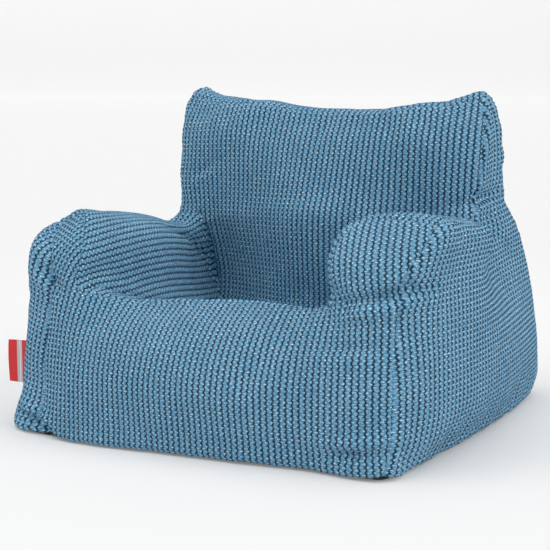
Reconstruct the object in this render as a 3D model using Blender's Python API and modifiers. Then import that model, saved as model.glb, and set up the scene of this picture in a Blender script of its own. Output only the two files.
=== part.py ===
"""Bean bag armchair: a fabric cover of sewn panels over a liner full of beads.

Run with: blender --background --python part.py
Metres, +Z up. The origin is the middle of the underside, and the chair faces -Y.
"""

import math

import bmesh
import bpy
import numpy as np
from mathutils import Matrix, Vector
from mathutils.bvhtree import BVHTree

# ---- Driving dimensions -------------------------------------------------------------

# Lines of the form across its width, from the left side to the right side.
LEFT, LEFT_SEAT, LEFT_MID, RIGHT_MID, RIGHT_SEAT, RIGHT = range(6)
# Lines of the form from front to rear.
FRONT, ARM_FRONT, ARM_MID, LEAN, CORE, REAR = range(6)
# Levels of the form from the floor up.
FLOOR, HEM, BELLY, ROLL, ARM_WAIST, ARM_TOP, BACK_WAIST, BACK_TOP = range(8)

# Heights of the levels, and where the surface passes at each of them.
LEVEL_Z = (0.003, 0.085, 0.205, 0.310, 0.415, 0.495, 0.620, 0.720)
CORNER_X = (0.396, 0.412, 0.414, 0.412, 0.428, 0.448, 0.398, 0.372)
SIDE_SWELL = (0.044, 0.048, 0.044, 0.038, 0.026, 0.006, 0.000, 0.000)
FRONT_Y = (-0.440, -0.450, -0.444, -0.422, -0.398, -0.328, 0.0, 0.0)
FRONT_SWELL = (0.035, 0.040, 0.034, 0.000, 0.0, 0.0, 0.0, 0.0)
REAR_Y = (0.435, 0.450, 0.440, 0.406, 0.354, 0.304, 0.262, 0.238)
REAR_SWELL = (0.020, 0.024, 0.032, 0.038, 0.038, 0.028, 0.022, 0.006)
LEAN_Y = (0.155, 0.155, 0.135, 0.055, 0.049, 0.063, 0.097, 0.139)
BACK_SIDE_X = (0.0, 0.0, 0.0, 0.0, 0.395, 0.377, 0.386, 0.362)
SWELL_FULLNESS = 0.6  # lower makes a swelling panel flatter in its middle
BACK_SWELL_SHARE = 0.4

# The left side has slumped outwards and forwards, so the chair isn't symmetric.
LEFT_SIDE_SPLAY = (0.0, 0.060, 0.060, 0.036, 0.012, 0.0)  # from FRONT to REAR, below the back
LEFT_SPLAY_SHARE = (1.12, 1.08, 1.0, 0.92, 0.65, 0.20)  # from FLOOR to ARM_TOP
RIGHT_SIDE_SPLAY = (0.0, 0.024, 0.020, 0.006, 0.0, 0.0)
RIGHT_SPLAY_SHARE = (0.0, 0.8, 1.0, 1.0, 0.8, 0.4)
LEFT_CORNER_SET = 0.012
LEFT_FRONT_BOW = 0.130  # how far forward the left side's first line sits
LEFT_TOP_BOW = 0.052
LEFT_BACK_SPLAY = 0.010
LEFT_ARM_SINK = 0.018
LEFT_ARM_OUTER_SINK = 0.014
LEFT_ARM_SPLAY = 0.040
LEFT_ARM_SPLAY_AT_LEAN = 0.012
LEFT_EAR_REACH = 0.018

# The seat.
SEAT_LINE_X = (-0.330, -0.110, 0.100, 0.252)  # inner lines, from the front edge to the back
REAR_LINE_X = (-0.300, -0.100, 0.100, 0.300)
SEAT_Z = 0.232
SEAT_SAG = 0.020
SEAT_EDGE_Z = (0.322, 0.282, 0.245, 0.235)  # from FRONT to LEAN
ROLL_SEAM_Y = -0.356
ROLL_SEAM_Z = 0.316
RIGHT_CORNER_SET = 0.022

# The arms.
ARM_ROW_Y = (-0.240, -0.060)
ARM_INNER_X = {ROLL: 0.222, ARM_WAIST: 0.248, ARM_TOP: 0.322}
ARM_FRONT_SPREAD = {ARM_WAIST: 0.006, ARM_TOP: 0.050}
ARM_TOP_LEAN_SET = 0.012
ARM_FALL = (0.0, 0.004, 0.030, 0.052)  # drop of the arm top, from FRONT to LEAN
WAIST_SHARE = 0.5

# The back.
BACK_INNER_X = 0.270
LEAN_SIDE_SET = 0.036  # how far the seams at the sides of the back sit behind its middle
CORE_SIDE_SET = 0.020
CORNER_EASE_X = {ROLL: 0.045, ARM_WAIST: 0.045, ARM_TOP: 0.0}
CORNER_EASE_Y = {ROLL: 0.060, ARM_WAIST: 0.055, ARM_TOP: 0.030}
EAR_RISE = 0.012
SADDLE_DROP = 0.026
SADDLE_SHOULDER = 0.7
TOP_CROWN = 0.010

FABRIC = 0.0020
SEAM_GAP = 0.0008
LINER_INSET = 0.012
LINER_THICKNESS = 0.001
FILL_INSET = 0.0032  # from the outside of the liner
BASE_THICKNESS = 0.0024
BASE_INSET = 0.002
LINER_FLOOR_Z = 0.0034
COVER_LEVELS = 2
INNER_SHARE = 0.24  # share of the faces that the liner and the beads keep
INTERPOLATION_ROUNDS = 40
INTERPOLATION_STEP = 0.8

COVER_ZIP_Z = LEVEL_Z[HEM]
COVER_ZIP_LENGTH = 0.500
LINER_ZIP_Z = LEVEL_Z[BELLY]
LINER_ZIP_LENGTH = 0.400
ZIP_CLEARANCE = 0.0006
TAPE_WIDTH = 0.0125
TAPE_THICKNESS = 0.0008
COIL_WIDTH = 0.0026
COIL_HEIGHT = 0.0021
COIL_GAP = 0.0003
COIL_ROUND = 0.0005
ZIP_SLOT = 0.003
SLOT_Y = (0.380, 0.600)  # reach of the slit's cutter, through one wall only
SLIDER_LENGTH = 0.0110
SLIDER_WALL = 0.0010
SLIDER_PLAY = 0.0004
STOP_LENGTH = 0.0030
FLAP_HEIGHT = 0.044
FLAP_OVERLAP = 0.030
FLAP_THICKNESS = 0.0025
FLAP_STANDOFF = 0.0052

SIDE_LABEL_Y = -0.350
SIDE_LABEL_Z = 0.134
SIDE_LABEL_HEIGHT = 0.098
SIDE_LABEL_REACH = 0.058
SIDE_LABEL_THICKNESS = 0.0018
SIDE_LABEL_HEM = 0.026
SIDE_LABEL_FOLD = 0.0012  # room for the tab to fold against its hem
CARE_LABEL_SIZE = (0.032, 0.052, 0.0008)
CARE_LABEL_Z = 0.150
CARE_LABEL_INSET = 0.050
TRIM_GAP = 0.0005
SMALL_BEVEL = 0.0002
TRIM_BEVEL = 0.0004
FLAP_BEVEL = 0.0008

FAR = 2.0  # a distance well outside the chair, where rays start
SMOOTH_ANGLE = 40.0

PANELS = (
    "front_panel",
    "seat_panel",
    "arm_inner_panel_left",
    "arm_inner_panel_right",
    "side_panel_left",
    "side_panel_right",
    "back_front_panel",
    "back_rear_panel",
    "underside",
)

parts = None
guides = None


def clear_scene():
    """Removes every object and collection."""
    for item in list(bpy.data.objects):
        bpy.data.objects.remove(item, do_unlink=True)
    for kept in list(bpy.data.collections):
        bpy.data.collections.remove(kept)


def new_collection(name):
    """A collection linked to the scene."""
    made = bpy.data.collections.new(name)
    bpy.context.scene.collection.children.link(made)
    return made


# ---- The form: a coarse closed cage that Subdivision Surface rounds -------------------


def cell_is_solid(i, j, k):
    """Whether the block between lines i, j, k and the next ones is inside the chair."""
    if not (0 <= i < RIGHT and 0 <= j < REAR and 0 <= k < BACK_TOP):
        return False
    if k < ROLL:
        return True
    if j >= LEAN:
        return True
    return k < ARM_TOP and i in (LEFT, RIGHT_SEAT)


def panel_of_face(i, j, k, step):
    """The panel that covers the side of block (i, j, k) that looks along step."""
    if step == (0, -1, 0):
        return "front_panel" if j == FRONT else "back_front_panel"
    if step == (0, 1, 0):
        return "back_rear_panel"
    if step[0] != 0:
        if i in (LEFT, RIGHT_SEAT) and (i == LEFT) == (step[0] < 0):
            return "side_panel_left" if step[0] < 0 else "side_panel_right"
        return "arm_inner_panel_left" if step[0] > 0 else "arm_inner_panel_right"
    if step == (0, 0, -1):
        return "underside"
    if k + 1 == BACK_TOP:
        return "back_rear_panel"
    if k + 1 == ROLL:
        return "seat_panel"
    return "arm_inner_panel_left" if i == LEFT else "arm_inner_panel_right"


def swell_share(index, last):
    """How much of an edge's swell a line takes: none at the corners."""
    return math.sin(math.pi * index / last) ** SWELL_FULLNESS if 0 < index < last else 0.0


def outer_x(i, j, k):
    """Sideways place of the surface on the left or the right side."""
    on_back = j >= LEAN
    x = BACK_SIDE_X[k] if on_back and k >= ARM_WAIST else CORNER_X[k]
    x += SIDE_SWELL[k] * swell_share(j, REAR) * (BACK_SWELL_SHARE if on_back and k >= ROLL else 1.0)
    if i == RIGHT:
        return x + (RIGHT_SIDE_SPLAY[j] * RIGHT_SPLAY_SHARE[k] if k <= ARM_TOP else 0.0)
    if k == ARM_TOP and on_back:
        x += LEFT_BACK_SPLAY
    elif k <= ARM_TOP:
        x += LEFT_SIDE_SPLAY[j] * LEFT_SPLAY_SHARE[k]
        x -= LEFT_CORNER_SET if j == FRONT else 0.0
    elif k == BACK_TOP:
        x += LEFT_EAR_REACH
    return -x


def inner_x(i, j, k):
    """Sideways place of one of the four inner lines."""
    straight = SEAT_LINE_X[i - 1] if j < LEAN else REAR_LINE_X[i - 1]
    if i in (LEFT_MID, RIGHT_MID) or k < ROLL or (j == REAR and k <= ARM_WAIST):
        return straight
    side = -1.0 if i == LEFT_SEAT else 1.0
    if j == FRONT:
        return straight + side * ARM_FRONT_SPREAD.get(k, 0.0)
    if j >= CORE or k > ARM_TOP:
        return side * BACK_INNER_X
    x = ARM_INNER_X[k]
    if i == LEFT_SEAT:
        x += LEFT_ARM_SPLAY_AT_LEAN if j == LEAN else LEFT_ARM_SPLAY
    if j == LEAN:
        x -= ARM_TOP_LEAN_SET if k == ARM_TOP else 0.0
        x += CORNER_EASE_X[k]
    return side * x


def depth_y(i, j, k):
    """Front-to-back place of the surface."""
    if j == FRONT:
        if k == ROLL and i in (LEFT_MID, RIGHT_MID):
            return ROLL_SEAM_Y
        corner = RIGHT_CORNER_SET if k == ROLL and i == RIGHT_SEAT else 0.0
        return FRONT_Y[k] - FRONT_SWELL[k] * swell_share(i, RIGHT) + corner
    if j == REAR:
        flat = k <= BELLY and LEFT < i < RIGHT
        return REAR_Y[k] + REAR_SWELL[k] * (1.0 if flat else swell_share(i, RIGHT))
    if j == LEAN:
        y = LEAN_Y[k] + (LEAN_SIDE_SET if i in (LEFT, RIGHT) else 0.0)
        return y + (CORNER_EASE_Y.get(k, 0.0) if i in (LEFT_SEAT, RIGHT_SEAT) else 0.0)
    if j == CORE:
        return 0.5 * (LEAN_Y[k] + REAR_Y[k]) + (CORE_SIDE_SET if i in (LEFT, RIGHT) else 0.0)
    y = ARM_ROW_Y[j - ARM_FRONT]
    if i == LEFT and j == ARM_FRONT:
        y -= LEFT_FRONT_BOW if k < ARM_TOP else LEFT_TOP_BOW
    return y


def height_z(i, j, k):
    """Height of the surface."""
    z = LEVEL_Z[k]
    middle = i in (LEFT_MID, RIGHT_MID)
    outer = i in (LEFT, RIGHT)
    if k == ROLL and j <= LEAN and not outer:
        if not middle:
            return SEAT_EDGE_Z[j]
        return ROLL_SEAM_Z if j == FRONT else SEAT_Z - SEAT_SAG * min(j - ARM_FRONT, 1)
    if k in (ARM_WAIST, ARM_TOP) and j <= LEAN and not middle:
        share = 1.0 if k == ARM_TOP else WAIST_SHARE
        z -= ARM_FALL[j] * share
        if j < LEAN and i in (LEFT, LEFT_SEAT):
            z -= LEFT_ARM_SINK * share
            z -= LEFT_ARM_OUTER_SINK if i == LEFT and k == ARM_TOP else 0.0
    if k == BACK_TOP:
        z += TOP_CROWN if j == CORE else 0.0
        z += EAR_RISE if outer else -SADDLE_DROP * (1.0 if middle else SADDLE_SHOULDER)
    return z


def surface_point(i, j, k):
    """Where the finished surface passes at lines (i, j) and level k."""
    x = outer_x(i, j, k) if i in (LEFT, RIGHT) else inner_x(i, j, k)
    return np.array((x, depth_y(i, j, k), height_z(i, j, k)))


def build_cage():
    """The outer faces of the solid blocks, as (corner keys, faces, panel of each face)."""
    corners = {}
    faces = []
    panels = []
    quads = {
        (1, 0, 0): ((1, 0, 0), (1, 1, 0), (1, 1, 1), (1, 0, 1)),
        (-1, 0, 0): ((0, 0, 0), (0, 0, 1), (0, 1, 1), (0, 1, 0)),
        (0, 1, 0): ((0, 1, 0), (0, 1, 1), (1, 1, 1), (1, 1, 0)),
        (0, -1, 0): ((0, 0, 0), (1, 0, 0), (1, 0, 1), (0, 0, 1)),
        (0, 0, 1): ((0, 0, 1), (1, 0, 1), (1, 1, 1), (0, 1, 1)),
        (0, 0, -1): ((0, 0, 0), (0, 1, 0), (1, 1, 0), (1, 0, 0)),
    }
    for i in range(RIGHT):
        for j in range(REAR):
            for k in range(BACK_TOP):
                if not cell_is_solid(i, j, k):
                    continue
                for step, offsets in quads.items():
                    if cell_is_solid(i + step[0], j + step[1], k + step[2]):
                        continue
                    keys = [(i + a, j + b, k + c) for a, b, c in offsets]
                    faces.append([corners.setdefault(key, len(corners)) for key in keys])
                    panels.append(PANELS.index(panel_of_face(i, j, k, step)))
    return list(corners), faces, panels


def interpolating_cage(keys, faces):
    """Cage points whose rounded surface passes through surface_point at every line."""
    wanted = np.array([surface_point(*key) for key in keys])
    count = len(keys)
    beside = [set() for _ in range(count)]
    opposite = [[] for _ in range(count)]
    for face in faces:
        for n, corner in enumerate(face):
            beside[corner].update((face[n - 1], face[(n + 1) % 4]))
            opposite[corner].append(face[(n + 2) % 4])
    rim = [
        key[2] == FLOOR and (key[0] in (LEFT, RIGHT) or key[1] in (FRONT, REAR))
        for key in keys
    ]
    points = wanted.copy()
    for _ in range(INTERPOLATION_ROUNDS):
        limit = np.empty_like(points)
        for n in range(count):
            if rim[n]:
                along = [m for m in beside[n] if rim[m]]
                limit[n] = (4 * points[n] + points[along].sum(axis=0)) / (4 + len(along))
                continue
            valence = len(beside[n])
            total = valence**2 * points[n] + 4 * points[list(beside[n])].sum(axis=0)
            total = total + points[opposite[n]].sum(axis=0)
            limit[n] = total / (valence * (valence + 5))
        points = points + INTERPOLATION_STEP * (wanted - limit)
    return points


def material(name, colour, roughness, metallic=0.0):
    """A plain finish: colour, roughness and metallic value."""
    made = bpy.data.materials.new(name)
    made.use_nodes = True
    shader = made.node_tree.nodes["Principled BSDF"]
    shader.inputs["Base Color"].default_value = (*colour, 1.0)
    shader.inputs["Roughness"].default_value = roughness
    shader.inputs["Metallic"].default_value = metallic
    made.diffuse_color = (*colour, 1.0)
    return made


def floor_rim(faces, panels):
    """The pairs of corners along the bottom edge, where the sides meet the underside."""
    sides_of = {}
    for face, panel in zip(faces, panels):
        for n in range(4):
            pair = tuple(sorted((face[n], face[(n + 1) % 4])))
            sides_of.setdefault(pair, set()).add(panel == PANELS.index("underside"))
    return {pair for pair, kinds in sides_of.items() if len(kinds) == 2}


def build_form():
    """The cage as a guide object, with one material slot for each panel."""
    keys, faces, panels = build_cage()
    points = interpolating_cage(keys, faces)
    mesh = bpy.data.meshes.new("form")
    mesh.from_pydata([tuple(point) for point in points], [], faces)
    mesh.polygons.foreach_set("material_index", panels)
    crease = mesh.attributes.new("crease_edge", "FLOAT", "EDGE")
    rim = floor_rim(faces, panels)
    for edge in mesh.edges:
        crease.data[edge.index].value = float(tuple(sorted(edge.vertices)) in rim)
    form = guide("form", mesh)
    for name in PANELS:
        mesh.materials.append(material("form_" + name, (0.5, 0.5, 0.5), 0.9))
    return form


def rounded_mesh(form, levels):
    """The form rounded by Subdivision Surface, as a new mesh."""
    rounding = form.modifiers.new("rounding", "SUBSURF")
    rounding.levels = levels
    rounding.render_levels = levels
    graph = bpy.context.evaluated_depsgraph_get()
    mesh = bpy.data.meshes.new_from_object(form.evaluated_get(graph))
    form.modifiers.remove(rounding)
    return mesh


def finish_object(name, mesh, finish, smooth=True):
    """Links a mesh as the part called name, in one finish."""
    mesh.name = name
    mesh.materials.clear()
    mesh.materials.append(finish)
    if smooth:
        mesh.shade_smooth()
        mesh.set_sharp_from_angle(angle=math.radians(SMOOTH_ANGLE))
    else:
        mesh.shade_flat()
    made = bpy.data.objects.new(name, mesh)
    parts.objects.link(made)
    return made


def baked(obj):
    """The object's mesh as its modifiers leave it, and the object removed."""
    graph = bpy.context.evaluated_depsgraph_get()
    mesh = bpy.data.meshes.new_from_object(obj.evaluated_get(graph))
    bpy.data.objects.remove(obj, do_unlink=True)
    return mesh


def guide(name, mesh):
    """A helper object that is never part of the chair."""
    made = bpy.data.objects.new(name, mesh)
    made.hide_render = True
    made.display_type = "WIRE"
    guides.objects.link(made)
    return made


def mesh_from(bm, name):
    """The bmesh as a mesh whose faces point outwards."""
    bmesh.ops.recalc_face_normals(bm, faces=bm.faces)
    mesh = bpy.data.meshes.new(name)
    bm.to_mesh(mesh)
    bm.free()
    return mesh


def box_mesh(name, low, high):
    """A box between two corners."""
    bm = bmesh.new()
    bmesh.ops.create_cube(bm, size=1.0)
    size = Vector(high) - Vector(low)
    middle = (Vector(high) + Vector(low)) / 2
    bmesh.ops.scale(bm, vec=size, verts=bm.verts)
    bmesh.ops.translate(bm, vec=middle, verts=bm.verts)
    return mesh_from(bm, name)


def cut(mesh, name, low, high):
    """The mesh with a box between two corners cut out of it."""
    target = guide(name + "_blank", mesh)
    cutter = guide(name + "_cutter", box_mesh(name + "_cutter", low, high))
    boolean = target.modifiers.new("cut", "BOOLEAN")
    boolean.operation = "DIFFERENCE"
    boolean.solver = "EXACT"
    boolean.object = cutter
    return baked(target)


def bevelled(mesh, name, width):
    """The mesh with its edges rounded."""
    blank = guide(name + "_blank", mesh)
    bevel = blank.modifiers.new("bevel", "BEVEL")
    bevel.width = width
    bevel.segments = 2
    return baked(blank)


# ---- The cover ------------------------------------------------------------------------


def cover_shell(form):
    """The rounded form without its underside, as two parallel sheets a fabric apart."""
    shell = guide("cover_shell", rounded_mesh(form, COVER_LEVELS))
    bm = bmesh.new()
    bm.from_mesh(shell.data)
    underside = [f for f in bm.faces if f.material_index == PANELS.index("underside")]
    bmesh.ops.delete(bm, geom=underside, context="FACES")
    bm.to_mesh(shell.data)
    bm.free()
    thicken = shell.modifiers.new("fabric", "SOLIDIFY")
    thicken.thickness = FABRIC
    thicken.offset = -1.0
    thicken.use_rim = False
    return baked(shell)


def seam_move(vert):
    """Half a seam gap, from a border point into its panel. The bottom edge stays where it is."""
    if vert.co.z < LEVEL_Z[FLOOR] + SEAM_GAP:
        return Vector()
    centre = sum((f.calc_center_median() for f in vert.link_faces), Vector())
    inward = centre / len(vert.link_faces) - vert.co
    return inward.normalized() * SEAM_GAP / 2


def panel_mesh(shell, name):
    """One panel cut from the shell along its seams, with its edges closed."""
    bm = bmesh.new()
    bm.from_mesh(shell)
    wanted = PANELS.index(name)
    others = [f for f in bm.faces if f.material_index != wanted]
    bmesh.ops.delete(bm, geom=others, context="FACES")
    edges = [e for e in bm.edges if e.is_boundary]
    moves = {vert: seam_move(vert) for edge in edges for vert in edge.verts}
    for vert, move in moves.items():
        vert.co += move
    bmesh.ops.bridge_loops(bm, edges=edges)
    return mesh_from(bm, name)


def slotted(mesh, name, length, z):
    """The mesh with the slit of a zip cut through its rear wall."""
    low = (-length / 2, SLOT_Y[0], z - ZIP_SLOT / 2)
    high = (length / 2, SLOT_Y[1], z + ZIP_SLOT / 2)
    return cut(mesh, name, low, high)


def make_cover(form, fabric):
    """Every panel of the cover, with the zip's slit in the rear one."""
    shell = cover_shell(form)
    for name in PANELS[:-1]:
        mesh = panel_mesh(shell, name)
        if name == "back_rear_panel":
            mesh = slotted(mesh, "cover_zip_slot", COVER_ZIP_LENGTH, COVER_ZIP_Z)
        finish_object(name, mesh, fabric)


def make_base(form, finish):
    """The flat panel that the chair rests on, with the outline of the form at the floor."""
    mesh = rounded_mesh(form, COVER_LEVELS)
    bm = bmesh.new()
    bm.from_mesh(mesh)
    others = [f for f in bm.faces if f.material_index != PANELS.index("underside")]
    bmesh.ops.delete(bm, geom=others, context="FACES")
    flat = bmesh.ops.dissolve_faces(bm, faces=bm.faces)["region"]
    corners = [v for v in bm.verts if not v.link_faces]
    bmesh.ops.delete(bm, geom=corners, context="VERTS")
    bmesh.ops.inset_region(bm, faces=flat, thickness=BASE_INSET, use_even_offset=True)
    rim = [f for f in bm.faces if f not in flat]
    bmesh.ops.delete(bm, geom=rim, context="FACES")
    for vert in bm.verts:
        vert.co.z = 0.0
    grown = bmesh.ops.extrude_face_region(bm, geom=list(bm.faces))["geom"]
    for item in grown:
        if isinstance(item, bmesh.types.BMVert):
            item.co.z = BASE_THICKNESS
    return finish_object("base_panel", mesh_from(bm, "base_panel"), finish, smooth=False)


# ---- The liner and the beads ----------------------------------------------------------


def inset_form(form):
    """The rounded form drawn in by the liner's inset, in fewer faces."""
    bm = bmesh.new()
    bm.from_mesh(rounded_mesh(form, COVER_LEVELS))
    bm.normal_update()
    on_floor = {v for v in bm.verts if v.co.z < LEVEL_Z[FLOOR] + SEAM_GAP}
    shifted = {}
    for vert in bm.verts:
        walls = [f for f in vert.link_faces if f.normal.z > -0.99]
        if not walls:
            continue
        normal = sum((f.normal for f in walls), Vector()).normalized()
        if vert in on_floor:
            normal.z = 0.0
            normal.normalize()
        shifted[vert] = vert.co - normal * LINER_INSET
    for vert, place in shifted.items():
        vert.co = place
    for vert in on_floor:
        vert.co.z = LINER_FLOOR_Z
    for vert in set(bm.verts) - on_floor:
        vert.co.z = max(vert.co.z, LINER_FLOOR_Z + LINER_INSET)
    blank = guide("inset_blank", mesh_from(bm, "inset_form"))
    thinning = blank.modifiers.new("fewer_faces", "DECIMATE")
    thinning.ratio = INNER_SHARE
    return baked(blank)


def make_liner(inset, finish):
    """The bag for the beads: a thin closed shell, slit behind its zip."""
    liner = guide("liner_shell", inset.copy())
    thicken = liner.modifiers.new("film", "SOLIDIFY")
    thicken.thickness = LINER_THICKNESS
    thicken.offset = -1.0
    mesh = slotted(baked(liner), "liner_zip_slot", LINER_ZIP_LENGTH, LINER_ZIP_Z)
    return finish_object("inner_liner", mesh, finish)


def make_fill(inset, finish):
    """The beads as one mass, just inside the liner."""
    bm = bmesh.new()
    bm.from_mesh(inset)
    bm.normal_update()
    places = [vert.co - vert.normal * FILL_INSET for vert in bm.verts]
    for vert, place in zip(bm.verts, places):
        vert.co = place
    return finish_object("bead_fill", mesh_from(bm, "bead_fill"), finish)


# ---- Zips -----------------------------------------------------------------------------


def tape_mesh(name, length, y, z, side):
    """One zip tape with its half of the coil along the edge that meets the other tape."""
    outline = (
        (COIL_GAP / 2, 0.0),
        (TAPE_WIDTH, 0.0),
        (TAPE_WIDTH, TAPE_THICKNESS),
        (COIL_WIDTH, TAPE_THICKNESS),
        (COIL_WIDTH, COIL_HEIGHT - COIL_ROUND),
        (COIL_WIDTH - COIL_ROUND, COIL_HEIGHT),
        (COIL_GAP / 2, COIL_HEIGHT),
    )
    bm = bmesh.new()
    ring = [bm.verts.new((-length / 2, y + out, z + side * along)) for along, out in outline]
    face = bm.faces.new(ring)
    grown = bmesh.ops.extrude_face_region(bm, geom=[face])["geom"]
    moved = [item for item in grown if isinstance(item, bmesh.types.BMVert)]
    bmesh.ops.translate(bm, vec=(length, 0.0, 0.0), verts=moved)
    return mesh_from(bm, name)


def slider_mesh(name, x, y, z):
    """A lockable slider without a pull: a channel that rides over the coils."""
    half_length = SLIDER_LENGTH / 2
    half_width = COIL_WIDTH + SLIDER_PLAY + SLIDER_WALL
    low_y = y + TAPE_THICKNESS + SLIDER_PLAY
    top_y = y + COIL_HEIGHT + SLIDER_PLAY + SLIDER_WALL
    body = box_mesh(
        name,
        (x - half_length, low_y, z - half_width),
        (x + half_length, top_y, z + half_width),
    )
    channel = COIL_WIDTH + SLIDER_PLAY
    body = cut(
        body,
        name + "_channel",
        (x - 2 * half_length, y - SLIDER_WALL, z - channel),
        (x + 2 * half_length, y + COIL_HEIGHT + SLIDER_PLAY, z + channel),
    )
    return bevelled(body, name, SMALL_BEVEL)


def make_zip(prefix, length, y, z, slider_x, finishes):
    """Two tapes, a slider and a stop at each end, on the surface at y."""
    for word, side in (("upper", 1.0), ("lower", -1.0)):
        name = f"{prefix}_zip_{word}_tape"
        finish_object(name, tape_mesh(name, length, y, z, side), finishes["tape"], smooth=False)
    slider = prefix + "_zip_slider"
    mesh = slider_mesh(slider, slider_x, y, z)
    made = finish_object(slider, mesh, finishes["metal"], smooth=False)
    made.data.transform(Matrix.Translation((-slider_x, -y, -z)))
    made.location = (slider_x, y, z)
    for word, side in (("left", -1.0), ("right", 1.0)):
        name = f"{prefix}_zip_stop_{word}"
        middle = side * (length / 2 + STOP_LENGTH / 2 + TRIM_GAP)
        stop = box_mesh(
            name,
            (middle - STOP_LENGTH / 2, y, z - COIL_WIDTH - SLIDER_PLAY),
            (middle + STOP_LENGTH / 2, y + COIL_HEIGHT, z + COIL_WIDTH + SLIDER_PLAY),
        )
        finish_object(name, bevelled(stop, name, TRIM_BEVEL), finishes["metal"], smooth=False)


def surface_tree(mesh):
    """The mesh as a tree that rays can be cast at."""
    points = [v.co.copy() for v in mesh.vertices]
    return BVHTree.FromPolygons(points, [tuple(p.vertices) for p in mesh.polygons])


def outermost(tree, start, direction, heights):
    """Furthest reach of the form against direction, over several heights."""
    reach = []
    for z in heights:
        hit = tree.ray_cast(Vector((start[0], start[1], z)), Vector(direction))[0]
        reach.append(-hit.dot(Vector(direction)))
    return max(reach)


def zip_bed(tree, length, z):
    """The plane just behind the rear surface that clears it all along a zip."""
    heights = [z + n * TAPE_WIDTH / 2 for n in range(-2, 3)]
    columns = [n * length / 12 for n in range(-6, 7)]
    reach = [outermost(tree, (x, FAR, 0.0), (0.0, -1.0, 0.0), heights) for x in columns]
    return max(reach) + ZIP_CLEARANCE


def make_flap(y, finish):
    """A strip of the cover fabric that hangs over the zip from its upper edge."""
    half = COVER_ZIP_LENGTH / 2 + FLAP_OVERLAP
    top = COVER_ZIP_Z + FLAP_HEIGHT / 2
    mesh = box_mesh(
        "cover_zip_flap",
        (-half, -FLAP_THICKNESS / 2, -FLAP_HEIGHT),
        (half, FLAP_THICKNESS / 2, 0.0),
    )
    flap = finish_object("cover_zip_flap", bevelled(mesh, "cover_zip_flap", FLAP_BEVEL), finish)
    flap.location = (0.0, y + FLAP_STANDOFF, top)


# ---- Labels ---------------------------------------------------------------------------


def make_side_label(tree, red, pale):
    """A folded tab with no printing, and the pale hem strip it is sewn by."""
    low = SIDE_LABEL_Z - SIDE_LABEL_HEIGHT / 2
    high = SIDE_LABEL_Z + SIDE_LABEL_HEIGHT / 2
    heights = [low + n * SIDE_LABEL_HEIGHT / 4 for n in range(5)]
    root = -outermost(tree, (-FAR, SIDE_LABEL_Y, 0.0), (1.0, 0.0, 0.0), heights) - TRIM_GAP
    half = SIDE_LABEL_THICKNESS / 2
    hem = box_mesh(
        "side_label_hem",
        (-SIDE_LABEL_HEM, -half, -SIDE_LABEL_HEIGHT / 2),
        (0.0, half, SIDE_LABEL_HEIGHT / 2),
    )
    tab = box_mesh(
        "side_label",
        (-SIDE_LABEL_REACH, -half, -SIDE_LABEL_HEIGHT / 2),
        (-SIDE_LABEL_HEM - SIDE_LABEL_FOLD, half, SIDE_LABEL_HEIGHT / 2),
    )
    for name, mesh, finish in (("side_label_hem", hem, pale), ("side_label", tab, red)):
        made = finish_object(name, bevelled(mesh, name, TRIM_BEVEL), finish, smooth=False)
        made.location = (root, SIDE_LABEL_Y, SIDE_LABEL_Z)


def make_care_label(tree, finish):
    """A small blank label standing out of the rear left seam."""
    width, height, thickness = CARE_LABEL_SIZE
    heights = [CARE_LABEL_Z + n * height / 4 for n in range(-2, 3)]
    x = CARE_LABEL_INSET - CORNER_X[BELLY]
    y = outermost(tree, (x, FAR, 0.0), (0.0, -1.0, 0.0), heights) + TRIM_GAP
    mesh = box_mesh(
        "care_label",
        (x - thickness / 2, y, CARE_LABEL_Z - height / 2),
        (x + thickness / 2, y + width, CARE_LABEL_Z + height / 2),
    )
    finish_object("care_label", bevelled(mesh, "care_label", SMALL_BEVEL), finish)


def main():
    """Builds the whole chair."""
    global parts, guides
    clear_scene()
    parts = new_collection("bean_bag_chair")
    guides = new_collection("guides")
    form = build_form()
    fabric = material("ribbed_chenille", (0.080, 0.230, 0.380), 0.95)
    tape = material("zip_tape", (0.060, 0.160, 0.260), 0.85)
    metal = material("zip_metal", (0.350, 0.350, 0.360), 0.35, 0.9)
    make_cover(form, fabric)
    make_base(form, material("base_fabric", (0.012, 0.012, 0.013), 0.85))
    inset = inset_form(form)
    make_liner(inset, material("liner_fabric", (0.780, 0.780, 0.760), 0.80))
    make_fill(inset, material("polystyrene_beads", (0.900, 0.900, 0.900), 0.70))
    tree = surface_tree(rounded_mesh(form, COVER_LEVELS))
    finishes = {"tape": tape, "metal": metal}
    cover_y = zip_bed(tree, COVER_ZIP_LENGTH, COVER_ZIP_Z)
    liner_y = zip_bed(surface_tree(inset), LINER_ZIP_LENGTH, LINER_ZIP_Z)
    slider_x = COVER_ZIP_LENGTH / 2 - SLIDER_LENGTH
    make_zip("cover", COVER_ZIP_LENGTH, cover_y, COVER_ZIP_Z, slider_x, finishes)
    slider_x = LINER_ZIP_LENGTH / 2 - SLIDER_LENGTH
    make_zip("liner", LINER_ZIP_LENGTH, liner_y, LINER_ZIP_Z, slider_x, finishes)
    make_flap(cover_y, fabric)
    pale = material("label_hem", (0.620, 0.620, 0.620), 0.75)
    make_side_label(tree, material("label_red", (0.560, 0.012, 0.016), 0.65), pale)
    make_care_label(tree, material("care_label_satin", (0.850, 0.850, 0.840), 0.55))


main()
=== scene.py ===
"""Bean bag armchair, dressed for show: a sewn cover of wavy cord fabric over a bag of beads.

Metres, +Z up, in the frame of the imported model. The chair stands on z = 0 and faces -Y.
"""

import sys

import logging
import math
from collections.abc import Sequence
from dataclasses import dataclass, field
from enum import Enum, IntEnum

import bpy
import numpy as np
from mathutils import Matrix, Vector, noise
from mathutils.kdtree import KDTree


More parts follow.
